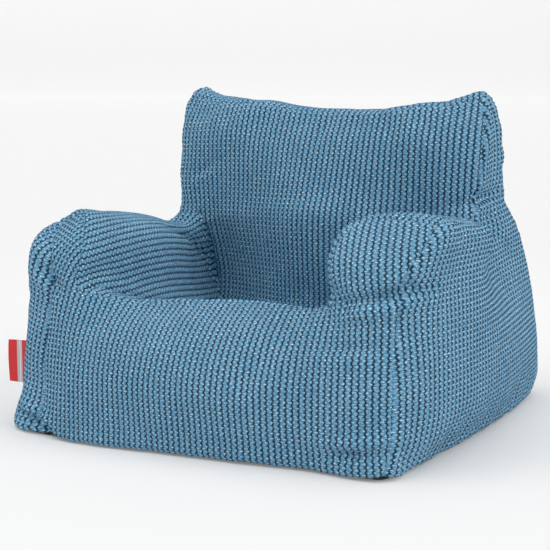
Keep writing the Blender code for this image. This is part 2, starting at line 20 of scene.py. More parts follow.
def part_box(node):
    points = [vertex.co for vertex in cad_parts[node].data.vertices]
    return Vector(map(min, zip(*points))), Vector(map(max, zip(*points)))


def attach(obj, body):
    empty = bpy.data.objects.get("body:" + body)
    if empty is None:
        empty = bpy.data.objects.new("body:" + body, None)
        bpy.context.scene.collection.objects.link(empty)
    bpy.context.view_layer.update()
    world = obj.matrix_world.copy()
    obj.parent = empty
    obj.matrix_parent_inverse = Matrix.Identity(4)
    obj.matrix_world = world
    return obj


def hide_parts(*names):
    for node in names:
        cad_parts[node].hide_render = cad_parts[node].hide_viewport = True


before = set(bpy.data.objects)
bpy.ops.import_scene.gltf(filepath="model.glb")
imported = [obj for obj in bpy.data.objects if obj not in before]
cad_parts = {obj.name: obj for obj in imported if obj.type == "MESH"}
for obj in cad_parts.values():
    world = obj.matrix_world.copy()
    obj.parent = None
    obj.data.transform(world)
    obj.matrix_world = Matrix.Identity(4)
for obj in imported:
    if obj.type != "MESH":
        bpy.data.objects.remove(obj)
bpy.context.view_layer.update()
LOG = logging.getLogger("bean_bag_chair")
CURVE_SHARE = 0.75
Points = np.ndarray
Colour = tuple[float, float, float]


# ---- The form -------------------------------------------------------------------------


class Line(IntEnum):
    """Lines of the form across its width."""

    LEFT = 0
    LEFT_SEAT = 1
    LEFT_MID = 2
    RIGHT_MID = 3
    RIGHT_SEAT = 4
    RIGHT = 5


class Row(IntEnum):
    """Rows of the form from front to rear."""

    FRONT = 0
    ARM_FRONT = 1
    ARM_MID = 2
    LEAN = 3
    CORE = 4
    REAR = 5


class Level(IntEnum):
    """Levels of the form from the floor up."""

    FLOOR = 0
    HEM = 1
    BELLY = 2
    ROLL = 3
    ARM_WAIST = 4
    ARM_TOP = 5
    BACK_WAIST = 6
    BACK_TOP = 7


class Panel(IntEnum):
    """Panels of the cover, and the underside that closes it."""

    FRONT = 0
    SEAT = 1
    ARM_LEFT = 2
    ARM_RIGHT = 3
    SIDE_LEFT = 4
    SIDE_RIGHT = 5
    BACK_FRONT = 6
    BACK_REAR = 7
    UNDERSIDE = 8


NODE_OF_PANEL = {
    Panel.FRONT: "front_panel",
    Panel.SEAT: "seat_panel",
    Panel.ARM_LEFT: "arm_inner_panel_left",
    Panel.ARM_RIGHT: "arm_inner_panel_right",
    Panel.SIDE_LEFT: "side_panel_left",
    Panel.SIDE_RIGHT: "side_panel_right",
    Panel.BACK_FRONT: "back_front_panel",
    Panel.BACK_REAR: "back_rear_panel",
}


@dataclass(frozen=True)
class ChairForm:
    """The stuffed shape of the chair: where its surface passes on a coarse grid of lines.

    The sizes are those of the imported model's own form, so each panel lies where its solid does.
    """

    level_z: tuple[float, ...] = (0.003, 0.085, 0.205, 0.310, 0.415, 0.495, 0.620, 0.720)
    corner_x: tuple[float, ...] = (0.396, 0.412, 0.414, 0.412, 0.428, 0.448, 0.398, 0.372)
    side_swell: tuple[float, ...] = (0.044, 0.048, 0.044, 0.038, 0.026, 0.006, 0.0, 0.0)
    front_y: tuple[float, ...] = (-0.440, -0.450, -0.444, -0.422, -0.398, -0.328, 0.0, 0.0)
    front_swell: tuple[float, ...] = (0.035, 0.040, 0.034, 0.0, 0.0, 0.0, 0.0, 0.0)
    rear_y: tuple[float, ...] = (0.435, 0.450, 0.440, 0.406, 0.354, 0.304, 0.262, 0.238)
    rear_swell: tuple[float, ...] = (0.020, 0.024, 0.032, 0.038, 0.038, 0.028, 0.022, 0.006)
    lean_y: tuple[float, ...] = (0.155, 0.155, 0.135, 0.055, 0.049, 0.063, 0.097, 0.139)
    back_side_x: tuple[float, ...] = (0.0, 0.0, 0.0, 0.0, 0.395, 0.377, 0.386, 0.362)
    swell_fullness: float = 0.6
    back_swell_share: float = 0.4
    left_side_splay: tuple[float, ...] = (0.0, 0.060, 0.060, 0.036, 0.012, 0.0)
    left_splay_share: tuple[float, ...] = (1.12, 1.08, 1.0, 0.92, 0.65, 0.20)
    right_side_splay: tuple[float, ...] = (0.0, 0.024, 0.020, 0.006, 0.0, 0.0)
    right_splay_share: tuple[float, ...] = (0.0, 0.8, 1.0, 1.0, 0.8, 0.4)
    left_corner_set: float = 0.012
    left_front_bow: float = 0.130
    left_top_bow: float = 0.052
    left_back_splay: float = 0.010
    left_arm_sink: float = 0.018
    left_arm_outer_sink: float = 0.014
    left_arm_splay: float = 0.040
    left_arm_splay_at_lean: float = 0.012
    left_ear_reach: float = 0.018
    seat_line_x: tuple[float, ...] = (-0.330, -0.110, 0.100, 0.252)
    rear_line_x: tuple[float, ...] = (-0.300, -0.100, 0.100, 0.300)
    seat_z: float = 0.232
    seat_sag: float = 0.020
    seat_edge_z: tuple[float, ...] = (0.322, 0.282, 0.245, 0.235)
    roll_seam_y: float = -0.356
    roll_seam_z: float = 0.316
    right_corner_set: float = 0.022
    arm_row_y: tuple[float, ...] = (-0.240, -0.060)
    arm_inner_x: tuple[float, ...] = (0.222, 0.248, 0.322)
    arm_front_spread: tuple[float, ...] = (0.0, 0.006, 0.050)
    arm_top_lean_set: float = 0.012
    arm_fall: tuple[float, ...] = (0.0, 0.004, 0.030, 0.052)
    waist_share: float = 0.5
    back_inner_x: float = 0.270
    lean_side_set: float = 0.036
    core_side_set: float = 0.020
    corner_ease_x: tuple[float, ...] = (0.045, 0.045, 0.0)
    corner_ease_y: tuple[float, ...] = (0.060, 0.055, 0.030)
    ear_rise: float = 0.012
    saddle_drop: float = 0.026
    saddle_shoulder: float = 0.7
    top_crown: float = 0.010
    rounds: int = 40
    step: float = 0.8

    @staticmethod
    def cell_is_solid(i: int, j: int, k: int) -> bool:
        """Says whether a block of the grid is inside the chair.

        Args:
            i: Line on the block's left.
            j: Row in front of the block.
            k: Level under the block.

        Returns:
            True where the chair fills the block.
        """
        if not (0 <= i < Line.RIGHT and 0 <= j < Row.REAR and 0 <= k < Level.BACK_TOP):
            return False
        if k < Level.ROLL or j >= Row.LEAN:
            return True
        return k < Level.ARM_TOP and i in (Line.LEFT, Line.RIGHT_SEAT)

    @staticmethod
    def panel_of(i: int, j: int, k: int, step: tuple[int, int, int]) -> Panel:
        """Finds the panel that covers one side of a block.

        Args:
            i: Line on the block's left.
            j: Row in front of the block.
            k: Level under the block.
            step: Unit step that the side faces.

        Returns:
            The panel.
        """
        if step == (0, -1, 0):
            return Panel.FRONT if j == Row.FRONT else Panel.BACK_FRONT
        if step == (0, 1, 0):
            return Panel.BACK_REAR
        if step[0] != 0:
            if i in (Line.LEFT, Line.RIGHT_SEAT) and (i == Line.LEFT) == (step[0] < 0):
                return Panel.SIDE_LEFT if step[0] < 0 else Panel.SIDE_RIGHT
            return Panel.ARM_LEFT if step[0] > 0 else Panel.ARM_RIGHT
        if step == (0, 0, -1):
            return Panel.UNDERSIDE
        if k + 1 == Level.BACK_TOP:
            return Panel.BACK_REAR
        if k + 1 == Level.ROLL:
            return Panel.SEAT
        return Panel.ARM_LEFT if i == Line.LEFT else Panel.ARM_RIGHT

    def swell_share(self, index: int, last: int) -> float:
        """Gives the share of an edge's swell that a line takes: none at the corners.

        Args:
            index: The line.
            last: The last line of that direction.

        Returns:
            A share from 0 to 1.
        """
        if not 0 < index < last:
            return 0.0
        return math.sin(math.pi * index / last) ** self.swell_fullness

    def outer_x(self, i: int, j: int, k: int) -> float:
        """Gives the sideways place of the surface on the left or right side.

        Args:
            i: Line of the point.
            j: Row of the point.
            k: Level of the point.

        Returns:
            The place on X in metres.
        """
        on_back = j >= Row.LEAN
        x = self.back_side_x[k] if on_back and k >= Level.ARM_WAIST else self.corner_x[k]
        share = self.back_swell_share if on_back and k >= Level.ROLL else 1.0
        x += self.side_swell[k] * self.swell_share(j, Row.REAR) * share
        if i == Line.RIGHT:
            if k > Level.ARM_TOP:
                return x
            return x + self.right_side_splay[j] * self.right_splay_share[k]
        if k == Level.ARM_TOP and on_back:
            x += self.left_back_splay
        elif k <= Level.ARM_TOP:
            x += self.left_side_splay[j] * self.left_splay_share[k]
            x -= self.left_corner_set if j == Row.FRONT else 0.0
        elif k == Level.BACK_TOP:
            x += self.left_ear_reach
        return -x

    def inner_x(self, i: int, j: int, k: int) -> float:
        """Gives the sideways place of one of the four inner lines.

        Args:
            i: Line of the point.
            j: Row of the point.
            k: Level of the point.

        Returns:
            The place on X in metres.
        """
        straight = self.seat_line_x[i - 1] if j < Row.LEAN else self.rear_line_x[i - 1]
        middle = i in (Line.LEFT_MID, Line.RIGHT_MID)
        if middle or k < Level.ROLL or (j == Row.REAR and k <= Level.ARM_WAIST):
            return straight
        side = -1.0 if i == Line.LEFT_SEAT else 1.0
        above_roll = min(k, Level.ARM_TOP) - Level.ROLL
        if j == Row.FRONT:
            return straight + side * self.arm_front_spread[above_roll]
        if j >= Row.CORE or k > Level.ARM_TOP:
            return side * self.back_inner_x
        x = self.arm_inner_x[above_roll]
        if i == Line.LEFT_SEAT:
            x += self.left_arm_splay_at_lean if j == Row.LEAN else self.left_arm_splay
        if j == Row.LEAN:
            x -= self.arm_top_lean_set if k == Level.ARM_TOP else 0.0
            x += self.corner_ease_x[above_roll]
        return side * x

    def depth_y(self, i: int, j: int, k: int) -> float:
        """Gives the front-to-back place of the surface.

        Args:
            i: Line of the point.
            j: Row of the point.
            k: Level of the point.

        Returns:
            The place on Y in metres.
        """
        if j == Row.FRONT:
            if k == Level.ROLL and i in (Line.LEFT_MID, Line.RIGHT_MID):
                return self.roll_seam_y
            corner = self.right_corner_set if k == Level.ROLL and i == Line.RIGHT_SEAT else 0.0
            return self.front_y[k] - self.front_swell[k] * self.swell_share(i, Line.RIGHT) + corner
        if j == Row.REAR:
            flat = k <= Level.BELLY and Line.LEFT < i < Line.RIGHT
            share = 1.0 if flat else self.swell_share(i, Line.RIGHT)
            return self.rear_y[k] + self.rear_swell[k] * share
        outer = i in (Line.LEFT, Line.RIGHT)
        if j == Row.LEAN:
            y = self.lean_y[k] + (self.lean_side_set if outer else 0.0)
            eased = i in (Line.LEFT_SEAT, Line.RIGHT_SEAT) and Level.ROLL <= k <= Level.ARM_TOP
            return y + (self.corner_ease_y[k - Level.ROLL] if eased else 0.0)
        if j == Row.CORE:
            return 0.5 * (self.lean_y[k] + self.rear_y[k]) + (self.core_side_set if outer else 0.0)
        y = self.arm_row_y[j - Row.ARM_FRONT]
        if i == Line.LEFT and j == Row.ARM_FRONT:
            y -= self.left_front_bow if k < Level.ARM_TOP else self.left_top_bow
        return y

    def height_z(self, i: int, j: int, k: int) -> float:
        """Gives the height of the surface.

        Args:
            i: Line of the point.
            j: Row of the point.
            k: Level of the point.

        Returns:
            The place on Z in metres.
        """
        z = self.level_z[k]
        middle = i in (Line.LEFT_MID, Line.RIGHT_MID)
        outer = i in (Line.LEFT, Line.RIGHT)
        if k == Level.ROLL and j <= Row.LEAN and not outer:
            if not middle:
                return self.seat_edge_z[j]
            return self.roll_seam_z if j == Row.FRONT else self.seat_z - self.seat_sag * min(j - 1, 1)
        if k in (Level.ARM_WAIST, Level.ARM_TOP) and j <= Row.LEAN and not middle:
            share = 1.0 if k == Level.ARM_TOP else self.waist_share
            z -= self.arm_fall[j] * share
            if j < Row.LEAN and i in (Line.LEFT, Line.LEFT_SEAT):
                z -= self.left_arm_sink * share
                z -= self.left_arm_outer_sink if i == Line.LEFT and k == Level.ARM_TOP else 0.0
        if k == Level.BACK_TOP:
            z += self.top_crown if j == Row.CORE else 0.0
            dip = self.saddle_drop * (1.0 if middle else self.saddle_shoulder)
            z += self.ear_rise if outer else -dip
        return z

    def point(self, key: tuple[int, int, int]) -> tuple[float, float, float]:
        """Gives the point where the finished surface passes at a line, row and level."""
        x = self.outer_x(*key) if key[0] in (Line.LEFT, Line.RIGHT) else self.inner_x(*key)
        return x, self.depth_y(*key), self.height_z(*key)

    def cage_faces(self) -> tuple[list[tuple[int, int, int]], list[list[int]], list[Panel]]:
        """Collects the outer faces of the solid blocks.

        Returns:
            The corners' grid keys, each face's corners, and each face's panel.
        """
        quads = {
            (1, 0, 0): ((1, 0, 0), (1, 1, 0), (1, 1, 1), (1, 0, 1)),
            (-1, 0, 0): ((0, 0, 0), (0, 0, 1), (0, 1, 1), (0, 1, 0)),
            (0, 1, 0): ((0, 1, 0), (0, 1, 1), (1, 1, 1), (1, 1, 0)),
            (0, -1, 0): ((0, 0, 0), (1, 0, 0), (1, 0, 1), (0, 0, 1)),
            (0, 0, 1): ((0, 0, 1), (1, 0, 1), (1, 1, 1), (0, 1, 1)),
            (0, 0, -1): ((0, 0, 0), (0, 1, 0), (1, 1, 0), (1, 0, 0)),
        }
        corners: dict[tuple[int, int, int], int] = {}
        faces, panels = [], []
        blocks = np.ndindex(int(Line.RIGHT), int(Row.REAR), int(Level.BACK_TOP))
        for i, j, k in blocks:
            if not self.cell_is_solid(i, j, k):
                continue
            for step, offsets in quads.items():
                if self.cell_is_solid(i + step[0], j + step[1], k + step[2]):
                    continue
                keys = [(i + a, j + b, k + c) for a, b, c in offsets]
                faces.append([corners.setdefault(key, len(corners)) for key in keys])
                panels.append(self.panel_of(i, j, k, step))
        return list(corners), faces, panels

    def solved(self, keys: Sequence[tuple[int, int, int]], faces: Sequence[Sequence[int]]) -> Points:
        """Moves the cage's corners until its rounded surface passes through every point.

        Args:
            keys: The corners' grid keys.
            faces: Each face's corners.

        Returns:
            The corners' places.
        """
        wanted = np.array([self.point(key) for key in keys])
        beside = [set() for _ in keys]
        opposite = [[] for _ in keys]
        for face in faces:
            for n, corner in enumerate(face):
                beside[corner].update((face[n - 1], face[(n + 1) % 4]))
                opposite[corner].append(face[(n + 2) % 4])
        rim = [
            k == Level.FLOOR and (i in (Line.LEFT, Line.RIGHT) or j in (Row.FRONT, Row.REAR))
            for i, j, k in keys
        ]
        points = wanted.copy()
        for _ in range(self.rounds):
            limit = np.empty_like(points)
            for n in range(len(keys)):
                if rim[n]:
                    along = [m for m in beside[n] if rim[m]]
                    limit[n] = (4 * points[n] + points[along].sum(axis=0)) / (4 + len(along))
                    continue
                valence = len(beside[n])
                total = valence**2 * points[n] + 4 * points[list(beside[n])].sum(axis=0)
                total = total + points[opposite[n]].sum(axis=0)
                limit[n] = total / (valence * (valence + 5))
            points = points + self.step * (wanted - limit)
        return points

    def cage(self) -> bpy.types.Mesh:
        """Builds the cage.

        Returns:
            The mesh, whose faces carry their panel as the material index.
        """
        keys, faces, panels = self.cage_faces()
        mesh = bpy.data.meshes.new("chair_form")
        mesh.from_pydata([tuple(p) for p in self.solved(keys, faces)], [], faces)
        mesh.polygons.foreach_set("material_index", [int(panel) for panel in panels])
        kinds: dict[tuple[int, int], set[bool]] = {}
        for face, panel in zip(faces, panels):
            for n in range(4):
                pair = tuple(sorted((face[n], face[(n + 1) % 4])))
                kinds.setdefault(pair, set()).add(panel == Panel.UNDERSIDE)
        crease = mesh.attributes.new("crease_edge", "FLOAT", "EDGE")
        for edge in mesh.edges:
            crease.data[edge.index].value = float(len(kinds[tuple(sorted(edge.vertices))]) == 2)
        return mesh


# ---- Mesh work ------------------------------------------------------------------------


def linked(name: str, data: bpy.types.ID | None) -> bpy.types.Object:
    """Makes an object of some data and links it to the scene.

    Args:
        name: The object's name.
        data: Its mesh, camera or light.

    Returns:
        The object.
    """
    made = bpy.data.objects.new(name, data)
    bpy.context.scene.collection.objects.link(made)
    return made


def rounded(mesh: bpy.types.Mesh, levels: int) -> bpy.types.Mesh:
    """Rounds a mesh with Subdivision Surface.

    Args:
        mesh: A mesh of quads.
        levels: How many times each quad is split in four.

    Returns:
        The rounded mesh.
    """
    blank = linked("rounding_blank", mesh)
    rounding = blank.modifiers.new("rounding", "SUBSURF")
    rounding.levels = levels
    rounding.render_levels = levels
    graph = bpy.context.evaluated_depsgraph_get()
    made = bpy.data.meshes.new_from_object(blank.evaluated_get(graph))
    bpy.data.objects.remove(blank, do_unlink=True)
    return made


def read(items: bpy.types.bpy_prop_collection, name: str, width: int, kind: type = np.float32) -> Points:
    """Reads one attribute of every item.

    Args:
        items: Vertices, loops, faces or the places in a UV layer.
        name: The attribute.
        width: How many numbers it holds.
        kind: The type of its numbers.

    Returns:
        One row for each item.
    """
    values = np.empty(len(items) * width, kind)
    items.foreach_get(name, values)
    return values.reshape(-1, width)


def places(mesh: bpy.types.Mesh) -> Points:
    """Reads the vertices' places."""
    return read(mesh.vertices, "co", 3).astype(float)


def outward(mesh: bpy.types.Mesh) -> Points:
    """Reads the vertices' normals."""
    return read(mesh.vertices, "normal", 3).astype(float)


def fabric_of(mesh: bpy.types.Mesh) -> Points:
    """Reads the flat cloth's place at each corner of each face of a mesh of quads."""
    return read(mesh.uv_layers["fabric"].data, "uv", 2).reshape(-1, 4, 2).astype(float)


def put_places(mesh: bpy.types.Mesh, points: Points) -> None:
    """Writes the vertices' places."""
    mesh.vertices.foreach_set("co", points.astype(np.float32).ravel())
    mesh.update()


def quads_of(mesh: bpy.types.Mesh) -> Points:
    """Reads the corners of every face of a mesh of quads."""
    return read(mesh.loops, "vertex_index", 1, np.int32).reshape(-1, 4)


def panels_of(mesh: bpy.types.Mesh) -> Points:
    """Reads the panel of every face."""
    return read(mesh.polygons, "material_index", 1, np.int32).ravel()


def mesh_of(name: str, points: Points, faces: Points, fabric: Points | None = None) -> bpy.types.Mesh:
    """Builds a mesh of quads.

    Args:
        name: The mesh's name.
        points: The vertices' places.
        faces: Four corners a face.
        fabric: Each vertex's place in the flat cloth, in metres.

    Returns:
        The mesh, shaded smooth.
    """
    mesh = bpy.data.meshes.new(name)
    mesh.vertices.add(len(points))
    mesh.vertices.foreach_set("co", points.astype(np.float32).ravel())
    mesh.loops.add(faces.size)
    mesh.loops.foreach_set("vertex_index", faces.astype(np.int32).ravel())
    mesh.polygons.add(len(faces))
    mesh.polygons.foreach_set("loop_start", np.arange(0, faces.size, 4, dtype=np.int32))
    mesh.update(calc_edges=True)
    if fabric is not None:
        layer = mesh.uv_layers.new(name="fabric")
        layer.data.foreach_set("uv", fabric[faces.ravel()].astype(np.float32).ravel())
    mesh.shade_smooth()
    return mesh


def sides_of(quads: Points) -> Points:
    """Gives the two ends of each side of every quad, opposite sides running the same way."""
    return np.stack([quads[:, [0, 1]], quads[:, [1, 2]], quads[:, [3, 2]], quads[:, [0, 3]]], 1)


def numbered_sides(quads: Points) -> tuple[Points, Points]:
    """Numbers the edges of a mesh of quads.

    Args:
        quads: Four corners a face.

    Returns:
        The ends of every edge, and the edge that each of a face's four sides is.
    """
    ends = np.sort(sides_of(quads).reshape(-1, 2), axis=1)
    known, edge = np.unique(ends, axis=0, return_inverse=True)
    return known, edge.reshape(-1, 4)


def strip_parts(quads: Points, fabric: Points, cell: tuple[float, float], most: int) -> Points:
    """Chooses how finely to split each face, alike along every strip so that neighbours meet.

    Args:
        quads: Four corners a face.
        fabric: The flat cloth's place at each corner of each face, in metres.
        cell: The size wanted across and along the cords, in metres.
        most: The most parts that a side is split into.

    Returns:
        For each face, the parts along its first side and along its second.
    """
    known, edge = numbered_sides(quads)
    strip = np.arange(len(known))
    moving = True
    while moving:
        before = strip.copy()
        for first, second in ((0, 2), (1, 3)):
            low = np.minimum(strip[edge[:, first]], strip[edge[:, second]])
            np.minimum.at(strip, edge[:, first], low)
            np.minimum.at(strip, edge[:, second], low)
        strip = strip[strip]
        moving = bool((strip != before).any())
    ends = sides_of(np.broadcast_to(np.arange(4), (1, 4)))[0]
    reach = fabric[:, ends[:, 1]] - fabric[:, ends[:, 0]]
    need = np.hypot(reach[..., 0] / cell[0], reach[..., 1] / cell[1])
    strips = strip[edge].ravel()
    mean = np.bincount(strips, need.ravel()) / np.maximum(np.bincount(strips), 1)
    parts = np.clip(np.ceil(mean), 1, most).astype(np.int64)
    return parts[strip[edge[:, :2]]]


def diced(values: Points, quads: Points, parts: Points) -> tuple[Points, Points]:
    """Splits every face into a grid that follows the surface's curve.

    Args:
        values: For each vertex its place, its normal and any other numbers to carry across.
        quads: Four corners a face.
        parts: For each face, the parts along its first side and along its second.

    Returns:
        The new rows of numbers, and the new quads.
    """
    known, edge = numbered_sides(quads)
    sides = sides_of(quads)
    forward = sides[:, :, 0] < sides[:, :, 1]
    split = np.ones(len(known), np.int64)
    for n in range(4):
        split[edge[:, n]] = parts[:, n % 2]
    start = len(values) + np.concatenate(([0], np.cumsum(split - 1)))
    inner = int(start[-1])
    made = np.empty((inner + int(((parts - 1).prod(axis=1)).sum()), values.shape[1]))
    cells = []
    for a, b in np.unique(parts, axis=0):
        pick = np.flatnonzero((parts == (a, b)).all(axis=1))
        ids = np.empty((len(pick), a + 1, b + 1), np.int64)
        ids[:, 0, 0], ids[:, a, 0], ids[:, a, b], ids[:, 0, b] = quads[pick].T
        rims = (ids[:, 1:a, 0], ids[:, a, 1:b], ids[:, 1:a, b], ids[:, 0, 1:b])
        for n, rim in enumerate(rims):
            count = rim.shape[1]
            step = np.arange(count)[None, :]
            turned = np.where(forward[pick, n][:, None], step, count - 1 - step)
            rim[...] = start[edge[pick, n]][:, None] + turned
        size = len(pick) * (a - 1) * (b - 1)
        ids[:, 1:a, 1:b] = (inner + np.arange(size)).reshape(len(pick), a - 1, b - 1)
        inner += size
        s, t = np.arange(a + 1) / a, np.arange(b + 1) / b
        corners = ((1 - s, 1 - t), (s, 1 - t), (s, t), (1 - s, t))
        shares = np.stack([np.outer(across, along) for across, along in corners])
        corner = values[quads[pick]]
        flat = np.einsum("fck,cab->fabk", corner, shares)
        away = flat[:, None, :, :, :3] - corner[:, :, None, None, :3]
        off = np.einsum("fcabk,fck->fcab", away, corner[:, :, 3:6])
        flat[..., :3] -= CURVE_SHARE * np.einsum("fcab,fck,cab->fabk", off, corner[:, :, 3:6], shares)
        made[ids] = flat
        grid = np.stack([ids[:, :-1, :-1], ids[:, 1:, :-1], ids[:, 1:, 1:], ids[:, :-1, 1:]], -1)
        cells.append(grid.reshape(-1, 4))
    return made, np.concatenate(cells)


def smooth_step(low: float, high: float, value: Points) -> Points:
    """Eases from 0 at low to 1 at high."""
    t = np.clip((value - low) / (high - low), 0.0, 1.0)
    return t * t * (3 - 2 * t)


def lumps(points: Points, size: float, seed: float) -> Points:
    """Gives a soft random height at each point, from about -1 to 1.

    Args:
        points: Places in metres.
        size: Width of a lump in metres.
        seed: Which random field.

    Returns:
        One height for each point.
    """
    shift = Vector((seed, 2.7 * seed, -1.3 * seed))
    return np.array([noise.noise(Vector(p) / size + shift) for p in points])


# ---- Finishes -------------------------------------------------------------------------


def toned(colour: Colour, share: float) -> Colour:
    """Gives a darker or a lighter colour of the same hue."""
    return tuple(share * c for c in colour)


class Finish:
    """A material being put together from nodes, with a Principled BSDF at its end."""

    def __init__(self, name: str, roughness: float, metallic: float = 0.0) -> None:
        """Starts the material.

        Args:
            name: The material's name.
            roughness: Even roughness of its surface.
            metallic: 1 for metal, 0 for everything else.
        """
        self.material = bpy.data.materials.new(name)
        self.material.use_nodes = True
        self.tree = self.material.node_tree
        self.shader = self.tree.nodes["Principled BSDF"]
        self.shader.inputs["Roughness"].default_value = roughness
        self.shader.inputs["Metallic"].default_value = metallic

    def node(
        self, kind: str, settings: dict[str, object] | None = None, **inputs: object
    ) -> bpy.types.Node:
        """Adds a node.

        Args:
            kind: The node's type.
            settings: Attributes of the node to set.
            **inputs: Its sockets by name, with _ for a space; a socket given is linked.

        Returns:
            The node.
        """
        made = self.tree.nodes.new(kind)
        for key, value in (settings or {}).items():
            setattr(made, key, value)
        for key, value in inputs.items():
            self.feed(made.inputs[key.replace("_", " ")], value)
        return made

    def feed(self, socket: bpy.types.NodeSocket, value: object) -> None:
        """Links a socket, or sets it to a value.

        Args:
            socket: The socket to fill.
            value: A socket to read from, or a plain value.
        """
        if isinstance(value, bpy.types.NodeSocket):
            self.tree.links.new(value, socket)
        else:
            socket.default_value = value

    def math(self, operation: str, *values: object) -> bpy.types.NodeSocket:
        """Adds a Math node.

        Args:
            operation: What it does.
            *values: Its inputs, as sockets or numbers.

        Returns:
            Its result.
        """
        made = self.tree.nodes.new("ShaderNodeMath")
        made.operation = operation
        for socket, value in zip(made.inputs, values):
            self.feed(socket, value)
        return made.outputs[0]

    def weighted(self, layers: Sequence[tuple[object, float]], base: float = 0.0) -> bpy.types.NodeSocket:
        """Adds up several values.

        Args:
            layers: Each value with its weight.
            base: The number to start from.

        Returns:
            The sum.
        """
        total = base
        for value, weight in layers:
            total = self.math("MULTIPLY_ADD", value, weight, total)
        return total

    def span(
        self, value: object, low: float, high: float, start: float = 0.0, end: float = 1.0
    ) -> bpy.types.NodeSocket:
        """Maps a value smoothly from one range to another.

        Args:
            value: The socket to read.
            low: Value that gives the start.
            high: Value that gives the end.
            start: Result at and before low.
            end: Result at and after high.

        Returns:
            The result.
        """
        made = self.node("ShaderNodeMapRange", {"interpolation_type": "SMOOTHSTEP"}, Value=value)
        for name, number in (("From Min", low), ("From Max", high), ("To Min", start), ("To Max", end)):
            made.inputs[name].default_value = number
        return made.outputs["Result"]

    def noise(self, coordinates: object, scale: float, detail: float = 2.0) -> bpy.types.NodeSocket:
        """Adds noise, from 0 to 1."""
        return self.node("ShaderNodeTexNoise", Vector=coordinates, Scale=scale, Detail=detail).outputs[0]

    def ramp(self, value: object, stops: Sequence[tuple[float, Colour]]) -> bpy.types.NodeSocket:
        """Turns a value into a colour.

        Args:
            value: The socket to read.
            stops: Places from 0 to 1 with their colours.

        Returns:
            The colour socket.
        """
        made = self.node("ShaderNodeValToRGB", Fac=value)
        elements = made.color_ramp.elements
        while len(elements) < len(stops):
            elements.new(0.5)
        for element, (place, colour) in zip(elements, stops):
            element.position = place
            element.color = (*colour, 1.0)
        return made.outputs["Color"]

    def mixed(self, share: object, first: object, second: object) -> bpy.types.NodeSocket:
        """Mixes two colours, from the first at 0 to the second at 1."""
        made = self.node("ShaderNodeMix", {"data_type": "RGBA"}, Factor=share, A=first, B=second)
        return made.outputs["Result"]

    def own_place(self) -> bpy.types.NodeSocket:
        """Gives the place in the piece's own space, in metres."""
        return self.node("ShaderNodeTexCoord").outputs["Object"]

    def bump(self, height: object, distance: float, strength: float = 1.0) -> None:
        """Roughens the surface by a height map."""
        made = self.node("ShaderNodeBump", Height=height, Distance=distance, Strength=strength)
        self.feed(self.shader.inputs["Normal"], made.outputs["Normal"])

    def cloth_place(self) -> tuple[bpy.types.NodeSocket, bpy.types.NodeSocket, bpy.types.NodeSocket]:
        """Gives the place in the flat cloth, in metres.

        Returns:
            The place as a vector, then how far across the cords and how far along them.
        """
        place = self.node("ShaderNodeUVMap", {"uv_map": "fabric"}).outputs["UV"]
        parted = self.node("ShaderNodeSeparateXYZ", Vector=place)
        return place, parted.outputs["X"], parted.outputs["Y"]

    def sheen(self, weight: float, roughness: float, tint: Colour) -> None:
        """Gives the surface the soft shine of fibres.

        Args:
            weight: How strong it is.
            roughness: How broad it is.
            tint: Its colour.
        """
        self.shader.inputs["Sheen Weight"].default_value = weight
        self.shader.inputs["Sheen Roughness"].default_value = roughness
        self.shader.inputs["Sheen Tint"].default_value = (*tint, 1.0)


